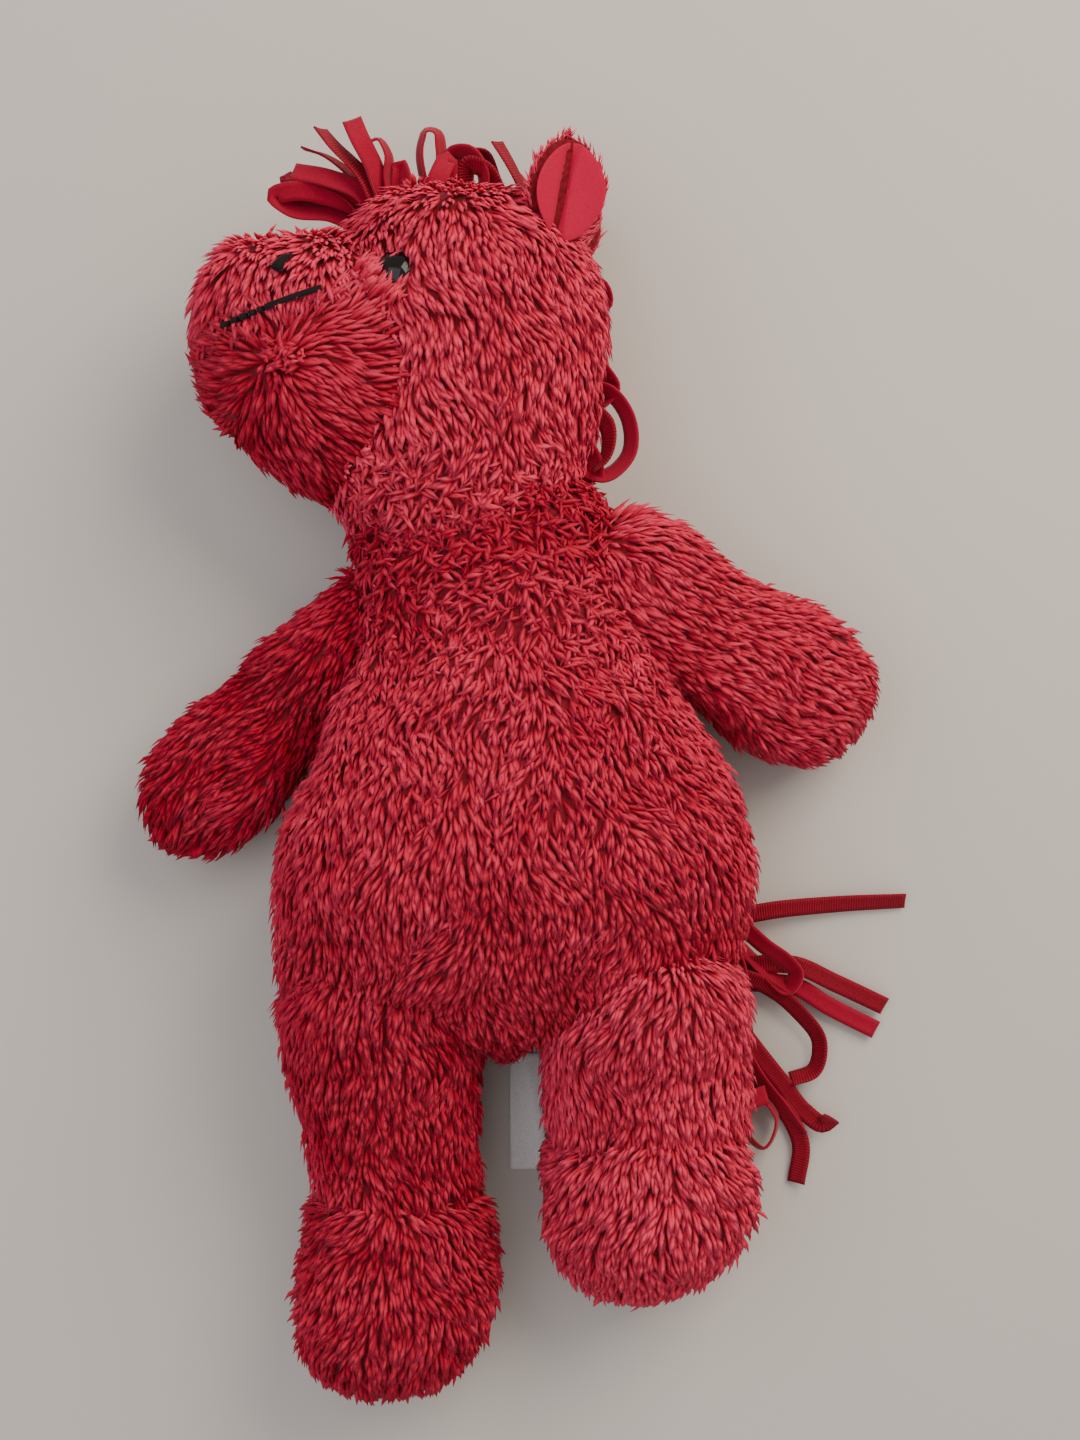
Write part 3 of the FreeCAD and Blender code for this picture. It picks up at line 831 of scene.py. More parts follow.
@dataclass
class Ribbon:
    """A flat ribbon along a path.

    Attributes:
        name: The piece's name.
        body: The body that it rides on.
        path: Points of its middle line, in mm.
        tilt: Turn of its face from lying flat, in degrees, at each end.
        finish: Its material.
        width: Its width in mm.
        thickness: Its thickness in mm.
        cup: How far its edges rise above its middle, in mm.
        taper: Its width at the far end, as a share.
        step: Distance between its cross-sections, in mm.
    """

    name: str
    body: str
    path: Sequence[Vector]
    tilt: tuple[float, float] = (20.0, 50.0)
    finish: Finish = Finish.GROSGRAIN
    width: float = 6.6
    thickness: float = 0.7
    cup: float = 0.35
    taper: float = 1.0
    step: float = 1.3

    def section(self) -> list[tuple[float, float]]:
        """Outline of the ribbon cut across, as shares of the width and mm.

        Returns:
            Its corners, in order.
        """
        half = self.thickness / 2
        run = [-0.5, -0.25, 0.0, 0.25, 0.5]
        lift = [self.cup * (2 * x) ** 2 for x in run]
        top = [(x, y + half) for x, y in zip(run, lift)]
        under = [(x, y - half) for x, y in zip(reversed(run), reversed(lift))]
        return top + under

    def make(self) -> bpy.types.Object:
        """Build the ribbon, section by section along its path.

        Returns:
            The piece.
        """
        line = through(self.path, self.step)
        shell = bmesh.new()
        ring: list[bmesh.types.BMVert] = []
        first = [shell.verts.new((0, 0, 0)) for _ in self.section()]
        edges = [shell.edges.new((a, b)) for a, b in zip(first, first[1:] + first[:1])]
        rows = [first]
        for _ in line[1:]:
            made = bmesh.ops.extrude_edge_only(shell, edges=edges)["geom"]
            ring = [g for g in made if isinstance(g, bmesh.types.BMVert)]
            edges = [g for g in made if isinstance(g, bmesh.types.BMEdge)]
            rows.append(ring)
        run_out = shell.loops.layers.uv.new("length")
        across_axis = self.frames(line)
        for i, (middle, (across, out), row) in enumerate(zip(line, across_axis, rows)):
            wide = self.width * (1 + (self.taper - 1) * i / (len(rows) - 1))
            for vert, (share, height) in zip(row, self.section()):
                vert.co = (middle + across * (share * wide) + out * height) * MM
        shell.verts.index_update()
        size = len(first)
        for face in shell.faces:
            for loop in face.loops:
                station, spot = divmod(loop.vert.index, size)
                share = self.section()[spot][0]
                loop[run_out].uv = ((share + 0.5) * self.width * MM, station * self.step * MM)
        for row in (rows[0], rows[-1]):
            shell.faces.new(row)
        bmesh.ops.recalc_face_normals(shell, faces=shell.faces)
        piece = finish_mesh(shell, self.name, self.body, self.finish)
        return piece

    def frames(self, line: Sequence[Vector]) -> list[tuple[Vector, Vector]]:
        """Give each point of the line its across and outward directions.

        Args:
            line: Points of a line, in mm.

        Returns:
            An across and an outward direction for each point.
        """
        out = []
        across = Vector((0, 0, 1))
        for i, here in enumerate(line):
            ahead = line[min(i + 1, len(line) - 1)] - line[max(i - 1, 0)]
            ahead.normalize()
            level = Vector((0, 0, 1)).cross(ahead)
            if level.length > 0.2:
                across = level.normalized()
            share = i / (len(line) - 1)
            turn = math.radians(self.tilt[0] + (self.tilt[1] - self.tilt[0]) * share)
            face = ahead.cross(across).normalized()
            side = across * math.cos(turn) + face * math.sin(turn)
            out.append((side, ahead.cross(side).normalized()))
        return out


# ---------------------------------------------------------------- the toy
def skin_tree(skin: bpy.types.Object) -> BVHTree:
    """Make a search tree of a skin.

    Args:
        skin: The skin's piece.

    Returns:
        The search tree.
    """
    mesh = skin.data
    return BVHTree.FromPolygons([v.co[:] for v in mesh.vertices], [p.vertices[:] for p in mesh.polygons])


def above_skin(tree: BVHTree, x: float, y: float, lift: float, side: int = 1) -> Vector:
    """Find the place over a skin's point, in mm.

    Args:
        tree: The skin's search tree.
        x: Where, in mm.
        y: Where, in mm.
        lift: Height above the skin, in mm.
        side: 1 to look from above, -1 from below.

    Returns:
        The place.
    """
    start = Vector((x, y, 0)) * MM + Vector((0, 0, 0.3 * side))
    spot, normal, _, _ = tree.ray_cast(start, Vector((0, 0, -side)))
    if spot is None:
        spot, normal, _, _ = tree.find_nearest(Vector((x * MM, y * MM, 0.047)))
    return spot / MM + normal * lift


def stuffed(form: Form, fill: float, *nodes: str) -> bpy.types.Object:
    """Make a form in place of its plain CAD parts.

    Args:
        form: The form.
        fill: How hard it is stuffed, 0 to 1; not used.
        nodes: The CAD parts that it stands for.

    Returns:
        The piece.
    """
    piece = form.make()
    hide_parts(*nodes)
    return piece


@dataclass
class Torso:
    """The pear-shaped torso, with the web between the legs."""

    rows: Sequence[Station] = (
        Station(0, 0, -12, 0, 0), Station(6, 0, -12, 58, 24), Station(14, 0.5, -10, 69, 32),
        Station(24, 0.5, -6, 73.5, 39), Station(38, 1.5, -3, 75.5, 45), Station(56, 3, 0, 77.5, 49),
        Station(76, 4, 0, 74.0, 49), Station(103, 3, -3, 62.0, 46), Station(119, 2, -5, 54.5, 43),
        Station(137, 0, -7, 47.5, 40), Station(153, -3, -7, 43.5, 38), Station(168, -7, -6, 42, 37),
        Station(183, -9, -5, 39, 34), Station(195, -12, -5, 29, 27), Station(203, -14, -5, 0, 0))
    start: Vector = Vector((0, -83, 50))

    def make_skin(self) -> bpy.types.Object:
        """Make the torso's cloth.

        Returns:
            The piece.
        """
        form = Form("torso_skin", "torso", self.start, Vector((0, 1, 0)), self.rows, lumps=1.5)
        return stuffed(form, 0.55, "torso_front_cover", "torso_back_cover", "torso_stuffing")

    def make_web(self) -> bpy.types.Object:
        """Make the web between the legs.

        Returns:
            The piece.
        """
        rows = [
            Station(0, 0, 0, 0, 0), Station(7, 0, 0, 9, 18),
            Station(15, 0, 0, 9, 18), Station(23, 0, 0, 0, 0)]
        form = Form("web_skin", "torso", Vector((0, -64, 33)), Vector((0, -1, 0)), rows, lumps=0.3)
        return stuffed(form, 0.4, "crotch_gusset")


@dataclass
class Head:
    """The skull lying on its side and its muzzle."""

    pivot: Vector
    skull_rows: Sequence[Station] = (
        Station(0, -2, 0, 0, 0), Station(6, -3, 0, 26, 28), Station(14, -4.5, 0, 35, 35),
        Station(24, -5, 0, 39, 38), Station(36, -3.5, 0, 40.5, 40.5), Station(52, -1, 0, 42, 42.5),
        Station(73, 0, 0, 43.5, 43.5), Station(92, -1, 0, 42, 42.5), Station(107, -3, 0, 37, 38),
        Station(118, -5, 0, 27, 28), Station(126, -5, 0, 0, 0))
    muzzle_rows: Sequence[Station] = (
        Station(0, 0, 1, 0, 0), Station(6, -2, 1, 24, 25), Station(14, -3, 1, 34, 35.5),
        Station(28, -4, 1, 39.5, 39.0), Station(44, -4, 0.5, 41.5, 38.5), Station(58, -1, 0, 38, 35),
        Station(72, 4, 0, 31.5, 29), Station(80, 6.5, 0, 23.5, 22), Station(85, 8, 0, 14, 13),
        Station(88.5, 9, 0, 0, 0))

    def make_skull(self) -> bpy.types.Object:
        """Make the skull's cloth.

        Returns:
            The piece.
        """
        start = self.pivot + Vector((0, -40, 0))
        form = Form("head_skin", "head", start, Vector((0, 1, 0)), self.skull_rows, lumps=1.0, seed=SEED + 1)
        return stuffed(form, 0.75, "head_left_cover", "head_right_cover", "head_stuffing")

    def make_muzzle(self) -> bpy.types.Object:
        """Make the muzzle's cloth.

        Returns:
            The piece.
        """
        start = self.pivot + Vector((-4, 30, 0))
        form = Form("muzzle_skin", "head", start, Vector((-1, 0, 0)), self.muzzle_rows, 0.8, SEED + 2, 0.85)
        return stuffed(form, 0.75, "muzzle_cover", "muzzle_stuffing")


@dataclass
class Arm:
    """One arm, from its sewn root to its round hand."""

    side: str
    hand: Vector
    thick: float
    inward: float
    root_size: float
    inset: float

    def form(self) -> Form:
        """Lay out the arm from the record's shoulder.

        Returns:
            The form.
        """
        root = joint_place(f"arm_{self.side}_swing")
        way = (self.hand - root).normalized()
        reach = (self.hand - root).length
        t = self.thick
        root_size = self.root_size
        rows = [
            Station(0, 0, 0, 0, 0), Station(6, self.inset, 0, t * root_size * 0.75, t * 0.72),
            Station(18, self.inset, 0, t * root_size, t),
            Station(14 + reach * 0.5, (self.inset + self.inward) / 2, 0, t * 1.03, t),
            Station(14 + reach, self.inward, 1, t * 1.16, t * 1.08),
            Station(14 + reach + t * 0.72, self.inward, 1, t * 0.84, t * 0.8),
            Station(14 + reach + t * 1.1, self.inward, 1, 0, 0)]
        start = root - way * 14
        return Form(f"arm_{self.side}_skin", f"arm_{self.side}", start, way, rows, seed=SEED + len(self.side))

    def make_skin(self) -> bpy.types.Object:
        """Make the arm's cloth.

        Returns:
            The piece.
        """
        side = self.side
        return stuffed(self.form(), 0.6, f"arm_{side}_cover", f"arm_{side}_stuffing")


@dataclass
class Leg:
    """One leg and its foot."""

    side: str
    slant: float
    leg_rows: Sequence[Station]
    foot_start: Vector
    foot_rows: Sequence[Station]

    def make_leg(self) -> bpy.types.Object:
        """Make the leg's cloth.

        Returns:
            The piece.
        """
        root = joint_place(f"leg_{self.side}_lift")
        start = Vector((root.x, root.y + 27, 33))
        way = Vector((self.slant, -1, 0))
        form = Form(f"leg_{self.side}_skin", f"leg_{self.side}", start, way, self.leg_rows, seed=SEED + 7)
        return stuffed(form, 0.6, f"leg_{self.side}_cover", f"leg_{self.side}_stuffing")

    def make_foot(self) -> bpy.types.Object:
        """Make the foot's cloth.

        Returns:
            The piece.
        """
        way = Vector((0, -1, 0))
        name = f"foot_{self.side}_skin"
        form = Form(name, f"leg_{self.side}", self.foot_start, way, self.foot_rows, seed=SEED + 9)
        return stuffed(form, 0.65, f"foot_{self.side}_cover", f"foot_{self.side}_stuffing")


@dataclass
class Ear:
    """One ear: a plush leaf with a velour lining in its open face."""

    side: str
    half_length: float = 18.5
    half_width: float = 14.5
    half_depth: float = 4.0

    def __post_init__(self) -> None:
        """Find the ear's middle and its directions from the CAD part."""
        low, high = box_mm(f"ear_{self.side}_back")
        self.sign = 1 if self.side == "left" else -1
        self.middle = (low + high) / 2
        self.way = Vector((0.10, 1.0, 0.22 * self.sign)).normalized()
        facing = Vector((0.25, -0.1, self.sign))
        self.out = (facing - self.way * facing.dot(self.way)).normalized()
        self.across = self.way.cross(self.out)

    def leaf(self, shrink: float, depth: float, lift: float, name: str, finish: Finish) -> bpy.types.Object:
        """Make a cupped leaf of cloth.

        Args:
            shrink: How much smaller than the ear it is all round, in mm.
            depth: Its half thickness, in mm.
            lift: Its height over the ear's middle, in mm.
            name: The piece's name.
            finish: Its material.

        Returns:
            The piece.
        """
        shell = bmesh.new()
        bmesh.ops.create_uvsphere(shell, u_segments=40, v_segments=24, radius=1.0)
        for vert in shell.verts:
            x, y, z = vert.co
            long = (self.half_length - shrink) * y * (1.0 - 0.1 * x * x)
            wide = (self.half_width - shrink) * x * (1.0 + 0.05 * y - 0.1 * y * y)
            cup = 0.022 * wide * wide + 0.004 * long * long
            fold = 4.6 * math.exp(-((wide + 2.0 - 0.1 * long) / 1.1) ** 2) * (finish is Finish.VELOUR)
            wide += 0.5 * self.sign * (finish is Finish.VELOUR)
            high = depth * z + lift + cup - fold
            vert.co = (self.middle + self.way * long + self.across * wide + self.out * high) * MM
        bmesh.ops.recalc_face_normals(shell, faces=shell.faces)
        return finish_mesh(shell, name, f"ear_{self.side}", finish)

    def make(self) -> tuple[bpy.types.Object, bpy.types.Object]:
        """Make the ear and its lining.

        Returns:
            The ear and its lining.
        """
        back = self.leaf(1.5, self.half_depth, 0.0, f"ear_{self.side}_skin", Finish.BACKING)
        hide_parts(f"ear_{self.side}_back")
        lining = self.leaf(2.9, 1.0, self.half_depth + 0.6, f"ear_{self.side}_velour", Finish.VELOUR)
        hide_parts(f"ear_{self.side}_lining")
        return back, lining


def ribbon_line(anchor: Vector, *offsets: tuple[float, float, float]) -> list[Vector]:
    """Place a ribbon's points from an anchor.

    Args:
        anchor: The place that the offsets start from, in mm.
        offsets: Steps from the anchor, in mm.

    Returns:
        The path's points, in mm.
    """
    return [anchor + Vector(o) for o in offsets]


@dataclass
class Mane:
    """Loops of ribbon sewn into the skull's middle seam."""

    pivot: Vector

    def lines(self) -> dict[str, tuple[tuple[float, float], Finish, list[Vector]]]:
        """Lay out the ribbons: tilt, finish and path from the head's pivot.

        Returns:
            Each ribbon's tilt, finish and path, by name.
        """
        p = self.pivot
        suede, ribbed = Finish.SUEDE, Finish.GROSGRAIN
        line = ribbon_line
        return {
            "mane_forehead_1": ((20, 30), suede, line(
                p, (-30, 70, -2), (-46.9, 78.8, -1), (-60.7, 80.3, 1), (-65.4, 83.8, 3), (-59.1, 85, 6),
                (-46.3, 83.3, 5), (-33.7, 79.1, 2))),
            "mane_forehead_2": ((10, 25), suede, line(
                p, (-29.6, 70.6, 4), (-35.2, 83.5, 8), (-46.4, 88.2, 9), (-59.1, 91.4, 6))),
            "mane_forehead_3": ((35, 60), ribbed, line(
                p, (-27.4, 72.1, 6), (-35.8, 89.3, 12), (-44.5, 97.9, 13), (-49.7, 104.6, 10))),
            "mane_forehead_4": ((50, 5), suede, line(
                p, (-26.7, 73.8, 3), (-31.7, 91.7, 14), (-35.9, 99.7, 17), (-38.6, 106.4, 14))),
            "mane_forehead_5": ((65, 80), suede, line(
                p, (-24.6, 74.6, 4), (-27.1, 88.9, 10), (-27, 95.7, 12), (-30.3, 100.3, 13),
                (-34.2, 97.4, 13), (-33.8, 91.3, 12), (-28.3, 75.6, 8))),
            "mane_crown_1": ((55, 75), suede, line(
                p, (-11.8, 81.1, 2), (-9.5, 98, 9), (-10.9, 103.6, 10), (-13.9, 104.1, 10),
                (-15.4, 101, 9), (-13.6, 82, 6))),
            "mane_crown_2": ((15, 5), suede, line(
                p, (-7.5, 81, 10), (-7.1, 91.9, 17), (-9.5, 86.5, 19), (-12.5, 80.5, 16))),
            "mane_crown_3": ((50, 60), suede, line(
                p, (-5.8, 83, 2), (-4.6, 97, 9), (0.4, 96.5, 11), (4.9, 90.6, 11), (5.3, 81.5, 8))),
            "mane_nape_1": ((40, 60), suede, line(
                p, (39.9, 54.8, 4), (44.8, 52.6, 5), (46.3, 46.8, 4), (40.9, 44.1, 3))),
            "mane_nape_2": ((40, 60), suede, line(
                p, (40.9, 29, 4), (45.8, 23.7, 6), (48.8, 18.9, 5), (43.8, 13.1, 4), (37.9, 12.3, 3))),
            "mane_nape_3": ((55, 40), suede, line(
                p, (37.9, 19.1, 4), (46.7, 17.6, 7), (53.6, 8.7, 7), (53.7, -4, 6), (45.8, -10.8, 5),
                (37.9, -8.6, 3))),
            "mane_extra_forehead_a": ((20, 60), suede, line(
                p, (-25.9, 77.6, 0), (-23.5, 86, 6), (-22.8, 92.4, 8), (-20.3, 85.2, 9),
                (-19.6, 78.3, 5))),
            "mane_extra_forehead_b": ((70, 40), ribbed, line(
                p, (-30.9, 70.6, 0), (-43.4, 84.5, 4), (-54.3, 88.5, 4), (-61.5, 90, 2),
                (-58, 86.1, -2), (-40.1, 80.3, -3))),
            "mane_extra_forehead_c": ((40, 80), ribbed, line(
                p, (-28.1, 75.3, -3), (-39.7, 91, 2), (-49.6, 98, 2), (-55.8, 100.5, 0))),
            "mane_extra_crown_a": ((30, 60), ribbed, line(
                p, (-1.8, 82.8, 3), (0.4, 92.8, 10), (6.4, 90.3, 12), (11.2, 83, 10))),
            "mane_extra_crown_b": ((70, 55), ribbed, line(
                p, (21, 78.1, 6), (14.2, 92.1, 9), (9.2, 100.8, 8))),
            "mane_extra_crown_c": ((40, 80), ribbed, line(
                p, (-4, 84.3, -3), (-1.8, 96.7, 3), (5.2, 97.4, 4), (9.1, 90.5, 4), (12.1, 80.8, 3))),
            "mane_extra_nape_a": ((20, 70), ribbed, line(
                p, (38.8, 12.8, 6), (46.6, 5.5, 9), (45.7, -5.2, 8), (41.8, -8.9, 6))),
            "mane_extra_nape_b": ((60, 20), suede, line(
                p, (37.9, 1.2, 4), (41.8, -3.9, 5), (42.8, -12.7, 4))),
        }

    def make(self) -> list[bpy.types.Object]:
        """Make the mane's ribbons.

        Returns:
            The pieces, in order.
        """
        made = []
        for name, (tilt, finish, path) in self.lines().items():
            extra = name.startswith("mane_extra")
            ribbon = Ribbon(name + "_ribbon", "head", path, tilt, finish)
            piece = ribbon.make()
            if not extra:
                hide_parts(name)
            made.append(piece)
        return made


@dataclass
class Tail:
    """Loose ribbon ends sewn into the seat."""

    root: Vector

    def lines(self) -> dict[str, tuple[tuple[float, float], Finish, list[Vector]]]:
        """Lay out the ribbons: tilt, finish and path from the tail's root.

        Returns:
            Each ribbon's tilt, finish and path, by name.
        """
        r = self.root
        suede, ribbed = Finish.SUEDE, Finish.GROSGRAIN
        line = ribbon_line
        return {
            "tail_ribbon_1": ((0, 40), ribbed, line(
                r, (4.1, -2.1, -1), (17.5, 18.4, 3), (27, 20.5, 3), (51.7, 23, 0), (79.3, 24.4, -1))),
            "tail_ribbon_2": ((10, 60), suede, line(
                r, (5.1, -3, 0), (17.2, 16.7, 7), (28.5, 8.5, 9), (36, 3.1, 7), (39.3, -1.2, 6),
                (36.4, -6.7, 4), (28.1, -0.6, 3), (17.7, 9.8, 1))),
            "tail_ribbon_3": ((0, 15), ribbed, line(
                r, (6.3, -4.2, -1), (24, 1.4, 2), (38.5, 1.7, 4), (53.6, -5, 1), (71.9, -13.7, -1))),
            "tail_ribbon_4": ((15, 55), ribbed, line(
                r, (6.1, -5, 1), (19.5, -2.5, 4), (32.2, -7.8, 4), (40.7, -15.3, 3), (48.2, -26, 2),
                (46.2, -36.7, 1), (37.9, -40.1, 0))),
            "tail_ribbon_5": ((5, 15), ribbed, line(
                r, (6.3, -6.3, -1), (15.5, -16.5, 2), (26.1, -30.2, 2), (34.6, -40.9, 1),
                (43.2, -51.7, 0), (49.4, -55.7, 1), (52.2, -53, 4))),
            "tail_ribbon_6": ((20, 60), suede, line(
                r, (5.1, -7.3, 0), (16.5, -22.7, 3), (26.1, -38.6, 2), (35.8, -50.6, 0),
                (42.3, -59.3, -1))),
            "tail_ribbon_7": ((10, 30), ribbed, line(
                r, (6.3, -7.5, -2), (17.9, -28.6, -1), (28.5, -43.4, -1), (38, -54, -1),
                (41.7, -62.5, -1), (40.3, -77.5, -2))),
            "tail_extra_a": ((0, 5), suede, line(
                r, (6.3, -5.4, -2), (26.2, -5, 1), (38.8, -6.1, 1), (51.8, -13.7, -1),
                (68.9, -22.4, -2))),
            "tail_extra_b": ((60, 80), suede, line(
                r, (6.2, -7.3, 0), (16.5, -34.3, 3), (20.6, -57.2, 4), (28.1, -63.8, 3),
                (32.3, -53.2, 3), (26.1, -46, 2), (19.7, -45, 2))),
            "tail_extra_c": ((5, -5), suede, line(
                r, (7.2, -8.2, 1), (17.4, -36.2, 4), (20.4, -46.3, 6), (28.9, -44.4, 5))),
            "tail_extra_d": ((70, 30), suede, line(
                r, (6.1, -5, 1), (17.1, 6.3, 8), (20, -6, 10), (19.2, -18.8, 8), (15.2, -29.7, 5))),
        }

    def make(self) -> list[bpy.types.Object]:
        """Make the tail's ribbons.

        Returns:
            The pieces, in order.
        """
        made = []
        for name, (tilt, finish, path) in self.lines().items():
            ribbon = Ribbon(name + "_strip", "tail", path, tilt, finish)
            piece = ribbon.make()
            if name.startswith("tail_ribbon"):
                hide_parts(name)
            made.append(piece)
        return made


@dataclass
class Face:
    """Eyes, nostrils and the stitched mouth."""

    skull: bpy.types.Object
    muzzle: bpy.types.Object
    pivot: Vector
    eye_radius: float = 7.6
    eye_height: float = 5.8
    eye_at: tuple[float, float] = (-24.0, 51.4)
    sink: float = 2.8
    corner_at: Vector = Vector((-45.6, 45.0, 0))
    front_at: Vector = Vector((-88, 31.7, 0))
    yarn: float = 1.7
    stitch: float = 2.7

    def eye_spot(self, side: str) -> tuple[Vector, Vector]:
        """Find an eye's seat on the skull's cloth and the way it looks.

        Args:
            side: Left or right.

        Returns:
            The seat in mm and the direction.
        """
        sign = 1 if side == "left" else -1
        tree = skin_tree(self.skull)
        seat = above_skin(tree, self.pivot.x + self.eye_at[0], self.pivot.y + self.eye_at[1], 0.0, sign)
        _, normal, _, _ = tree.find_nearest(seat * MM)
        return seat, normal

    def make_eye(self, side: str) -> bpy.types.Object:
        """Make one domed eye bead, set into the pile.

        Args:
            side: Left or right.

        Returns:
            The piece.
        """
        seat, out = self.eye_spot(side)
        shell = bmesh.new()
        bmesh.ops.create_uvsphere(shell, u_segments=36, v_segments=20, radius=1.0)
        turn = Vector((0, 0, 1)).rotation_difference(out).to_matrix()
        for vert in shell.verts:
            x, y, z = vert.co
            dome = Vector((x * self.eye_radius, y * self.eye_radius, z * self.eye_height))
            vert.co = (seat - out * self.sink + turn @ dome) * MM
        piece = finish_mesh(shell, f"eye_{side}_bead", "head", Finish.POLISHED)
        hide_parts(f"eye_{side}")
        return piece

    def mouth_line(self) -> list[Vector]:
        """Follow the mouth over the muzzle from one corner to the other.

        Returns:
            Its points, in mm.
        """
        tree = skin_tree(self.muzzle)
        corner, front = self.pivot + self.corner_at, self.pivot + self.front_at
        ahead = (front - corner).normalized()
        line = []
        for degrees in range(181):
            angle = math.radians(degrees)
            way = Vector((0, 0, 1)) * math.cos(angle) + ahead * math.sin(angle)
            spot, _, _, _ = tree.ray_cast((corner + way * 120) * MM, -way)
            reach = math.sin(angle)
            weave = 0.5 + 0.5 * math.cos(2 * math.pi * reach * 45 / self.stitch)
            loose = min(max((reach - 0.42) / 0.04, 0.0), 1.0)
            ended = min(max((reach - 0.73) / 0.03, 0.0), 1.0)
            line.append(spot / MM + way * (4.2 - 4.6 * loose * (1 - weave) - 6.5 * ended))
        return line

    def make_mouth(self) -> bpy.types.Object:
        """Make the mouth's yarn.

        Returns:
            The piece.
        """
        ribbon = Ribbon(
            "mouth_yarn", "head", self.mouth_line(), (0, 0), Finish.THREAD, self.yarn, 1.3, 0.0, step=0.5)
        piece = ribbon.make()
        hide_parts("mouth_stitching")
        return piece

    def make_nostril(self, side: str) -> bpy.types.Object:
        """Make one nostril: a small fan of satin stitches.

        Args:
            side: Left or right.

        Returns:
            The piece.
        """
        sign = 1 if side == "left" else -1
        tree = skin_tree(self.muzzle)
        line = [
            above_skin(tree, self.pivot.x + x, self.pivot.y + y, lift, sign)
            for x, y, lift in (
                (-60.0, 50.0, 3.6), (-58.9, 51.3, 4.7), (-57.7, 52.8, 4.7), (-55.6, 55.0, 3.6))]
        name = f"nostril_{side}_yarn"
        piece = Ribbon(name, "head", line, (0, 0), Finish.THREAD, 4.2, 1.2, -0.3, 0.2).make()
        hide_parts(f"nostril_{side}")
        return piece


@dataclass
class Label:
    """The blank care label, a folded satin tape between the legs."""

    def make(self) -> bpy.types.Object:
        """Make the tape, waved a little as it lies.

        Returns:
            The piece.
        """
        low, high = box_mm("care_label")
        shell = bmesh.new()
        bmesh.ops.create_grid(shell, x_segments=10, y_segments=24, size=0.5)
        middle = (low + high) / 2
        for vert in shell.verts:
            x, y = vert.co.x, vert.co.y
            wave = 0.7 * math.sin(6.0 * y + 1.0) + 0.35 * math.sin(9.0 * x + 4.0 * y) + 1.4
            place = Vector((x * (high.x - low.x), y * (high.y - low.y), wave))
            vert.co = (Vector((middle.x, middle.y, 0)) + place) * MM
        bmesh.ops.solidify(shell, geom=shell.faces[:] + shell.edges[:] + shell.verts[:], thickness=0.3 * MM)
        bmesh.ops.recalc_face_normals(shell, faces=shell.faces)
        piece = finish_mesh(shell, "care_label_tape", "label", Finish.SATIN)
        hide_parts("care_label")
        return piece


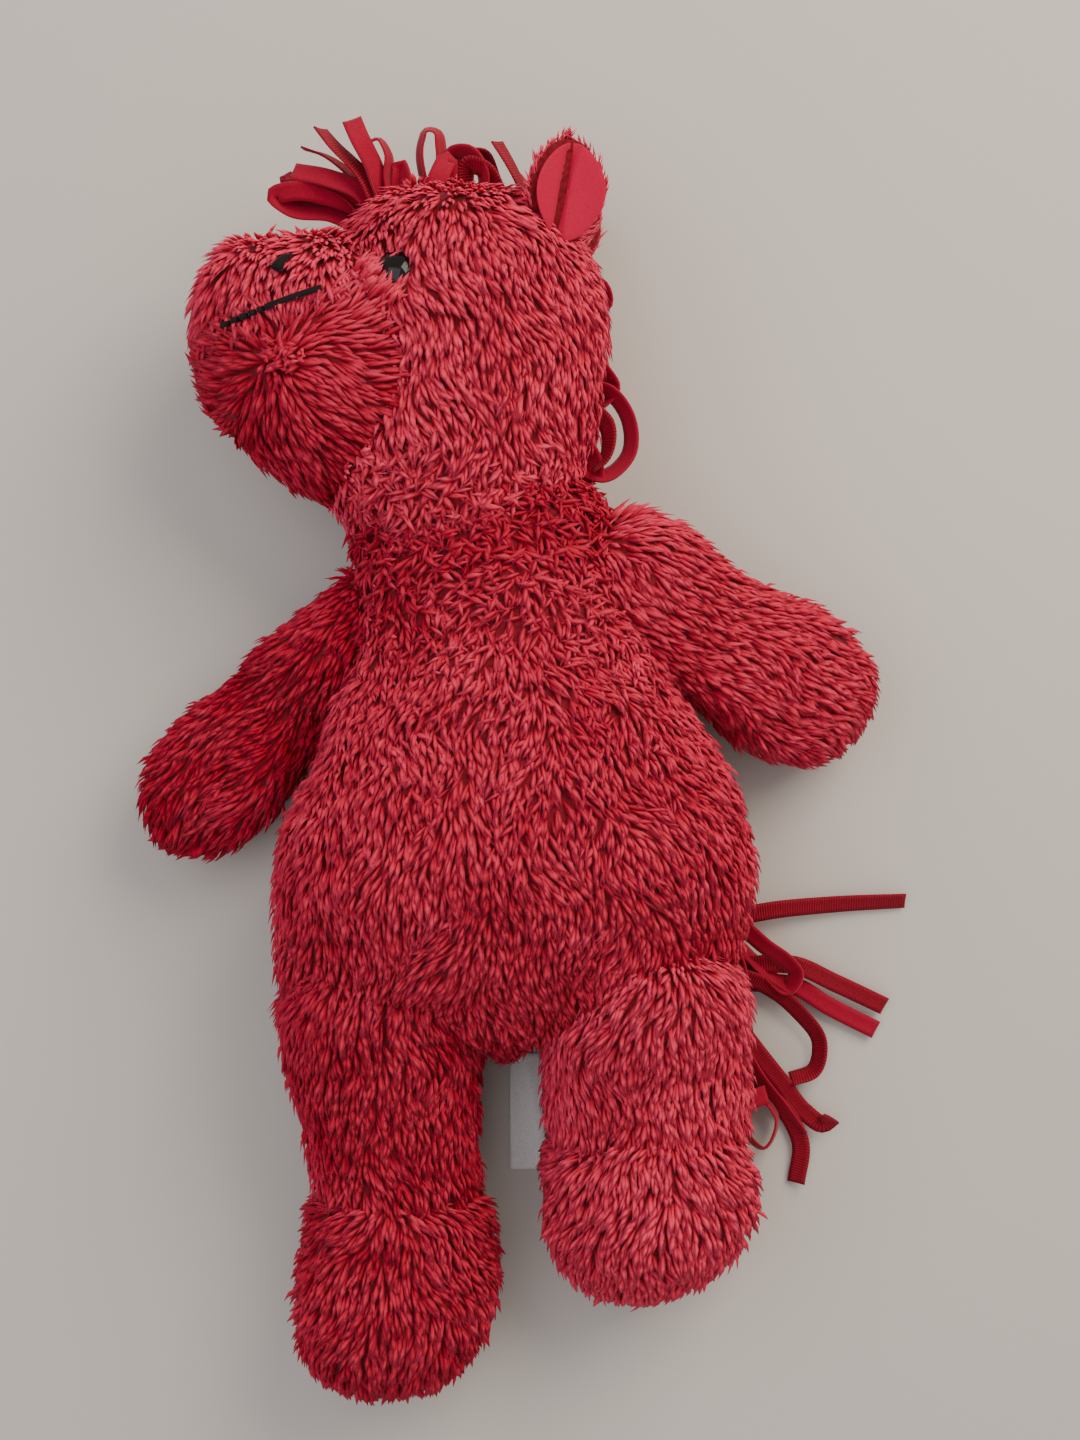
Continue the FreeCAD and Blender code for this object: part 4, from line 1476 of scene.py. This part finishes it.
@dataclass
class Pony:
    """The whole toy: skins first, then ribbons and face, then the pile."""

    hands: dict[str, Vector] = field(default_factory=lambda: {
        "right": Vector((-108.5, 1.5, 21)), "left": Vector((104, 37, 21.5))})

    def build(self) -> list[bpy.types.Object]:
        """Build every piece and return them in order.

        Returns:
            The pieces, in order.
        """
        head_pivot = joint_place("head_nod")
        torso = Torso()
        body = torso.make_skin()
        web = torso.make_web()
        head = Head(head_pivot)
        skull, muzzle = head.make_skull(), head.make_muzzle()
        right_arm = Arm("right", self.hands["right"], 16.0, -2.5, 0.8, -6.0)
        left_arm = Arm("left", self.hands["left"], 19.5, 0.0, 1.12, 0.0)
        arms = {"right": right_arm.make_skin(), "left": left_arm.make_skin()}
        legs = self.legs()
        leg_skins = {leg.side: leg.make_leg() for leg in legs}
        feet = {leg.side: leg.make_foot() for leg in legs}
        ears = {side: Ear(side) for side in ("left", "right")}
        ear_pieces = {side: ear.make() for side, ear in ears.items()}
        face = Face(skull, muzzle, head_pivot)
        pieces = [face.make_eye(side) for side in ears] + [face.make_mouth()]
        pieces += [face.make_nostril(side) for side in ears]
        pieces += Mane(head_pivot).make() + Tail(joint_place("tail_lift")).make() + [Label().make()]
        pieces += self.body_coats(body, web, skull, arms, leg_skins)
        pieces += self.head_coats(head_pivot, skull, muzzle, body, face)
        pieces += self.limb_coats(arms, leg_skins, feet, body)
        pieces += [self.ear_coat(ears[side], *ear_pieces[side]) for side in ears]
        self.finish_hidden_parts()
        return pieces

    def legs(self) -> list[Leg]:
        """Size the two legs.

        Returns:
            The two legs.
        """
        leg_right = (
            Station(0, 1, 5, 0, 0), Station(9, 1, 6, 22, 32), Station(22, 1.5, 5, 30, 38),
            Station(34, 1, 4, 31, 37), Station(49, 0, 2, 29, 33.5), Station(63, -1.5, 0, 27.0, 30.5),
            Station(76, -2.5, -2, 26, 28), Station(90, -4, -3, 24.5, 26), Station(106, -3.5, -3, 0, 0))
        foot_right = (
            Station(0, 2, 0, 0, 0), Station(8, 2, 0, 25, 24), Station(22, 1.5, 0, 29.5, 29),
            Station(36, 2, 0, 31.5, 30), Station(46, 3, 0, 31, 29.5), Station(60, 5, -1, 27, 26),
            Station(70, 7, -2, 18, 18), Station(75.5, 8, -3, 0, 0))
        leg_left = (
            Station(0, -4, 8, 0, 0), Station(9, -4, 9, 22, 36), Station(22, -3, 7, 30.5, 42),
            Station(34, -2, 5, 32.5, 41), Station(48, -0.5, 2, 32, 36), Station(64, 0.5, 0, 31.5, 32.5),
            Station(74, 1, 0, 28, 28), Station(84, 1, 0, 0, 0))
        foot_left = (
            Station(0, -2, 0, 0, 0), Station(8, -2, 0, 24, 26), Station(20, -2, 0, 31, 32),
            Station(36, -3.5, 0, 33, 33), Station(50, -2, 0, 30, 30), Station(63, 1, -2, 19.5, 21),
            Station(71, 2.5, -3, 0, 0))
        return [
            Leg("right", 0.0, leg_right, Vector((-35, -129, 31)), foot_right),
            Leg("left", 0.14, leg_left, Vector((47, -101, 33)), foot_left)]

    def body_coats(
        self, body: bpy.types.Object, web: bpy.types.Object, skull: bpy.types.Object,
        arms: Pieces, legs: Pieces
    ) -> list[bpy.types.Object]:
        """Grow the torso's pile in a front and a back piece.

        Args:
            body: The torso's skin.
            web: The web's skin.
            skull: The skull's skin.
            arms: The arms' skins by side.
            legs: The legs' skins by side.

        Returns:
            The pieces, in order.
        """
        near = [(skull, 10.0)] + [(a, 10.0) for a in arms.values()] + [(leg, 12.0) for leg in legs.values()]

        def nap(places: Rows) -> Rows:
            """Comb the pile down, parted at the middle and swept out at one hip.

            Args:
                places: Places in mm.

            Returns:
                The way the pile lies at each place.
            """
            lie = combed((0.02, -1.0, 0.0), 0.25)(places)
            parting = (places[:, 0] - 12.0 - 0.07 * (70 - places[:, 1])) / 16.0
            strength = np.exp(-((places[:, 1] - 45) / 38.0) ** 2) * np.exp(-parting**2) * parting
            lie[:, 0] += 1.3 * strength
            hip = np.exp(-((places[:, 0] - 50) / 26) ** 2 - ((places[:, 1] + 8) / 26) ** 2)
            lie[:, 0] += 0.55 * hip
            return lie

        def matted(places: Rows) -> Rows:
            """Matt the pile towards the neck.

            Args:
                places: Places in mm.

            Returns:
                What is added to the straying.
            """
            chest = 1.1 / (1 + np.exp(-(places[:, 1] - 62) / 9))
            return chest + 0.2 / (1 + np.exp(-(places[:, 1] - 10) / 16))

        def neck_painted_shade(places: Rows) -> Rows:
            """Darken the pile towards the neck: painted shade where the torso meets the head.

            Args:
                places: Places in mm.

            Returns:
                What is added to the shade.
            """
            return -0.38 / (1 + np.exp(-(places[:, 1] - 76) / 7))

        level = 50.0
        # The back coat's lower shade is painted shade on the torso's lower half, and the web's still lower
        # shade is painted shade in the crotch between the legs.
        coats = [
            Coat("torso_front_fur", body, "torso", nap, shade=0.46, hidden_by=near, wild=matted,
                 tone=neck_painted_shade, zone=lambda places: places[:, 2] >= level),
            Coat("torso_back_fur", body, "torso", nap, shade=0.36, stand=0.3, hidden_by=near,
                 wild=matted, zone=lambda places: places[:, 2] < level),
            Coat("web_fur", web, "torso", combed((0, -1, 0)), shade=0.3,
                 hidden_by=[(body, 2.0)] + [(leg, 10.0) for leg in legs.values()], seed=SEED + 3)]
        return [coat.grow() for coat in coats]

    def head_coats(
        self, pivot: Vector, skull: bpy.types.Object, muzzle: bpy.types.Object,
        body: bpy.types.Object, face: Face
    ) -> list[bpy.types.Object]:
        """Grow the pile of skull and muzzle.

        Args:
            pivot: The head's pivot, in mm.
            skull: The skull's skin.
            muzzle: The muzzle's skin.
            body: The torso's skin.
            face: The eyes, nostrils and mouth.

        Returns:
            The pieces, in order.
        """
        eyes = [face.eye_spot(side)[0] for side in ("left", "right")]
        lids = [(eye + Vector((2.5, 3.5, 0)), 6.5) for eye in eyes]
        lie = Muzzle(pivot + Vector((-58.3, 23.9, 0)), pivot + face.corner_at, pivot + face.front_at)
        line = face.mouth_line()
        mouth = [(spot, 1.3) for spot in self.sunk(line[:26] + line[-26:], muzzle)]

        def matted(places: Rows) -> Rows:
            """Matt the pile towards the neck.

            Args:
                places: Places in mm.

            Returns:
                What is added to the straying.
            """
            return 1.0 / (1 + np.exp((places[:, 1] - 112) / 6))

        def chin_painted_shade(places: Rows) -> Rows:
            """Darken the pile below the mouth: painted shade on the muzzle's lower part, away from the light.

            Args:
                places: Places in mm.

            Returns:
                What is added to the shade.
            """
            return -0.55 / (1 + np.exp((places[:, 1] - lie.corner.y + 6) / 4))

        def lid(places: Rows) -> Rows:
            """Pick the places beside each eye that face the muzzle.

            Args:
                places: Places in mm.

            Returns:
                Whether each place is there.
            """
            near = np.zeros(len(places), bool)
            for eye in eyes:
                offset = places - np.array(eye)
                away = np.linalg.norm(offset, axis=1)
                near |= (away < 13.0) & (away > 2.0) & (offset @ np.array((-0.72, -0.69, 0.0)) > 0.3 * away)
            return near

        def crown(places: Rows) -> Rows:
            """Pick the middle of the muzzle's whorl.

            Args:
                places: Places in mm.

            Returns:
                Whether each place is there.
            """
            offset = (places - np.array(lie.whorl)) * (1, 1, 0)
            return np.linalg.norm(offset, axis=1) < 6.5

        coats = [
            Coat("head_fur", skull, "head", combed((0.16, -1.0, 0.0), 0.2), shade=0.72, stand=0.34,
                 unruly=0.2, hidden_by=[(muzzle, 2.0), (body, 14.0)], bare=lids, wild=matted, seed=SEED + 11),
            # The muzzle's high mean shade is painted light on its lit top; below the mouth it is taken down
            # as painted shade.
            Coat("muzzle_fur", muzzle, "head", lie.nap, shade=0.82, stand=0.3, unruly=0.16, length=9.5,
                 hidden_by=[(skull, 2.0)], tone=chin_painted_shade,
                 bare=[(eye + Vector((4, 3, 0)), 3.5) for eye in eyes] + mouth,
                 seed=SEED + 13),
            Coat("eyelid_fur", muzzle, "head", combed((0.75, 0.6, 0.0)), shade=0.66, stand=0.7, unruly=0.2,
                 length=11.5, spacing=1.2, zone=lid, seed=SEED + 37),
            Coat("whorl_fur", muzzle, "head", combed((-0.5, -0.8, 0.0)), shade=0.3, stand=0.8, unruly=1.5,
                 length=8.0, spacing=1.4, bare=mouth, zone=crown, seed=SEED + 41)]
        return [coat.grow() for coat in coats]

    def sunk(self, line: Sequence[Vector], skin: bpy.types.Object) -> list[Vector]:
        """Drop points onto a skin.

        Args:
            line: Points of a line, in mm.
            skin: The skin's piece.

        Returns:
            Their places on the skin, in mm.
        """
        tree = skin_tree(skin)
        return [tree.find_nearest(p * MM)[0] / MM for p in line]

    def limb_coats(
        self, arms: Pieces, legs: Pieces, feet: Pieces, body: bpy.types.Object
    ) -> list[bpy.types.Object]:
        """Grow the pile of arms, legs and feet.

        Args:
            arms: The arms' skins by side.
            legs: The legs' skins by side.
            feet: The feet's skins by side.
            body: The torso's skin.

        Returns:
            The pieces, in order.
        """
        coats = []
        for side, skin in arms.items():
            root = joint_place(f"arm_{side}_swing")
            way = (self.hands[side] - root).normalized()
            # The arms' different shades are painted light: the right arm is painted shaded, the left painted
            # lit.
            coats.append(Coat(
                f"arm_{side}_fur", skin, f"arm_{side}", combed(way, 0.25),
                shade=0.12 if side == "right" else 0.55, stand=0.32,
                hidden_by=[(body, 20.0)], seed=SEED + 17 + len(side)))
        for side, skin in legs.items():
            # The legs' different shades, which the feet follow, are painted light: the right leg is painted
            # shaded, the left painted lit.
            shade = 0.28 if side == "right" else 0.80
            coats.append(Coat(
                f"leg_{side}_fur", skin, f"leg_{side}", combed((0.0, -1, 0), 0.25), shade=shade,
                hidden_by=[(body, 24.0), (feet[side], 2.0)], seed=SEED + 23 + len(side)))
            low = Vector(feet[side].bound_box[0]) / MM
            high = Vector(feet[side].bound_box[6]) / MM
            middle = (low + high) / 2
            coats.append(Coat(
                f"foot_{side}_fur", feet[side], f"leg_{side}",
                radiating(middle + Vector((0, 44, 26)), (0, -0.3, 0)), shade=shade + 0.04, stand=0.42,
                hidden_by=[(skin, 2.0)], seed=SEED + 29 + len(side)))
        return [coat.grow() for coat in coats]

    def ear_coat(self, ear: Ear, back: bpy.types.Object, lining: bpy.types.Object) -> bpy.types.Object:
        """Grow an ear's pile round its lining.

        Args:
            ear: The ear.
            back: The ear's plush leaf.
            lining: The ear's lining; not used.

        Returns:
            The piece.
        """
        def open_face(places: Rows) -> Rows:
            """Keep the pile off the lined face.

            Args:
                places: Places in mm.

            Returns:
                Whether each place has pile.
            """
            offset = places - np.array(ear.middle)
            long = offset @ np.array(ear.way) / (ear.half_length - 2.8)
            wide = (offset @ np.array(ear.across) - 0.5 * ear.sign) / (ear.half_width - 2.8)
            over = offset @ np.array(ear.out) > -1.0 + 0.022 * (wide * 10) ** 2
            return ~(over & (long**2 + wide**2 < 1.0))

        coat = Coat(
            f"ear_{ear.side}_fur", back, f"ear_{ear.side}",
            radiating(ear.middle - ear.way * 12, tuple(ear.way * 0.8)),
            shade=0.75, stand=0.25, length=5.0, spacing=1.3, width=0.45, zone=open_face, seed=SEED + 31)
        return coat.grow()

    def finish_hidden_parts(self) -> None:
        """Give the parts inside the toy their own materials."""
        looks = {
            "_stitches": Finish.RED_THREAD, "_washer": Finish.BEADS, "seat_beans": Finish.BEADS,
            "seat_bean_pouch": Finish.CANVAS, "tail_band": Finish.SUEDE}
        for piece in bpy.data.objects:
            for ending, finish in looks.items():
                if piece.type == "MESH" and piece.name.endswith(ending):
                    piece.data.materials.clear()
                    piece.data.materials.append(finish.material)


# ---------------------------------------------------------------- studio
@dataclass
class Studio:
    """A pale table under soft lamps, seen from straight above."""

    middle: Vector
    height: float = 0.745
    lens: float = 51.5

    def floor(self) -> bpy.types.Object:
        """Lay the table.

        Returns:
            The piece.
        """
        shell = bmesh.new()
        bmesh.ops.create_grid(shell, x_segments=1, y_segments=1, size=4.0)
        mesh = bpy.data.meshes.new("table")
        shell.to_mesh(mesh)
        shell.free()
        material, surface = blank_material("matt_pale_table")
        surface.inputs["Base Color"].default_value = linear("#b4aea7")
        surface.inputs["Roughness"].default_value = 0.9
        mesh.materials.append(material)
        table = bpy.data.objects.new("table", mesh)
        bpy.context.scene.collection.objects.link(table)
        return table

    def lamp(
        self, name: str, place: tuple[float, float, float], size: float, power: float, tint: str
    ) -> None:
        """Hang a square lamp that looks at the toy.

        Args:
            name: The lamp's name.
            place: A place in metres.
            size: Its width, in metres.
            power: Its power, in watts.
            tint: Its hex colour.
        """
        light = bpy.data.lights.new(name, "AREA")
        light.size = size
        light.energy = power
        light.color = linear(tint)[:3]
        lamp = bpy.data.objects.new(name, light)
        lamp.location = place
        lamp.rotation_euler = (self.middle - Vector(place)).to_track_quat("-Z", "Y").to_euler()
        bpy.context.scene.collection.objects.link(lamp)

    def build(self) -> None:
        """Set the table, lamps, sky and camera."""
        self.floor()
        self.lamp("key", (0.58, 0.66, 0.8), 0.8, 17.0, "#fff2e2")
        self.lamp("fill", (-0.5, 0.1, 1.1), 1.2, 8.0, "#f4f4ff")
        world = bpy.data.worlds.new("soft_sky")
        world.use_nodes = True
        sky = world.node_tree.nodes["Background"]
        sky.inputs["Color"].default_value = linear("#f2efec")
        sky.inputs["Strength"].default_value = 0.7
        bpy.context.scene.world = world
        camera = bpy.data.objects.new("camera", bpy.data.cameras.new("camera"))
        camera.data.lens = self.lens
        camera.location = (self.middle.x, self.middle.y, self.height)
        bpy.context.scene.collection.objects.link(camera)
        bpy.context.scene.camera = camera


def main() -> None:
    """Build the toy and its studio."""
    logging.basicConfig(level=logging.INFO, format="%(message)s")
    for piece in Pony().build():
        log.info("%s: %d faces", piece.name, len(piece.data.polygons))
    Studio(Vector((0.0119, 0.0272, 0.045))).build()


if __name__ == "__main__":
    main()
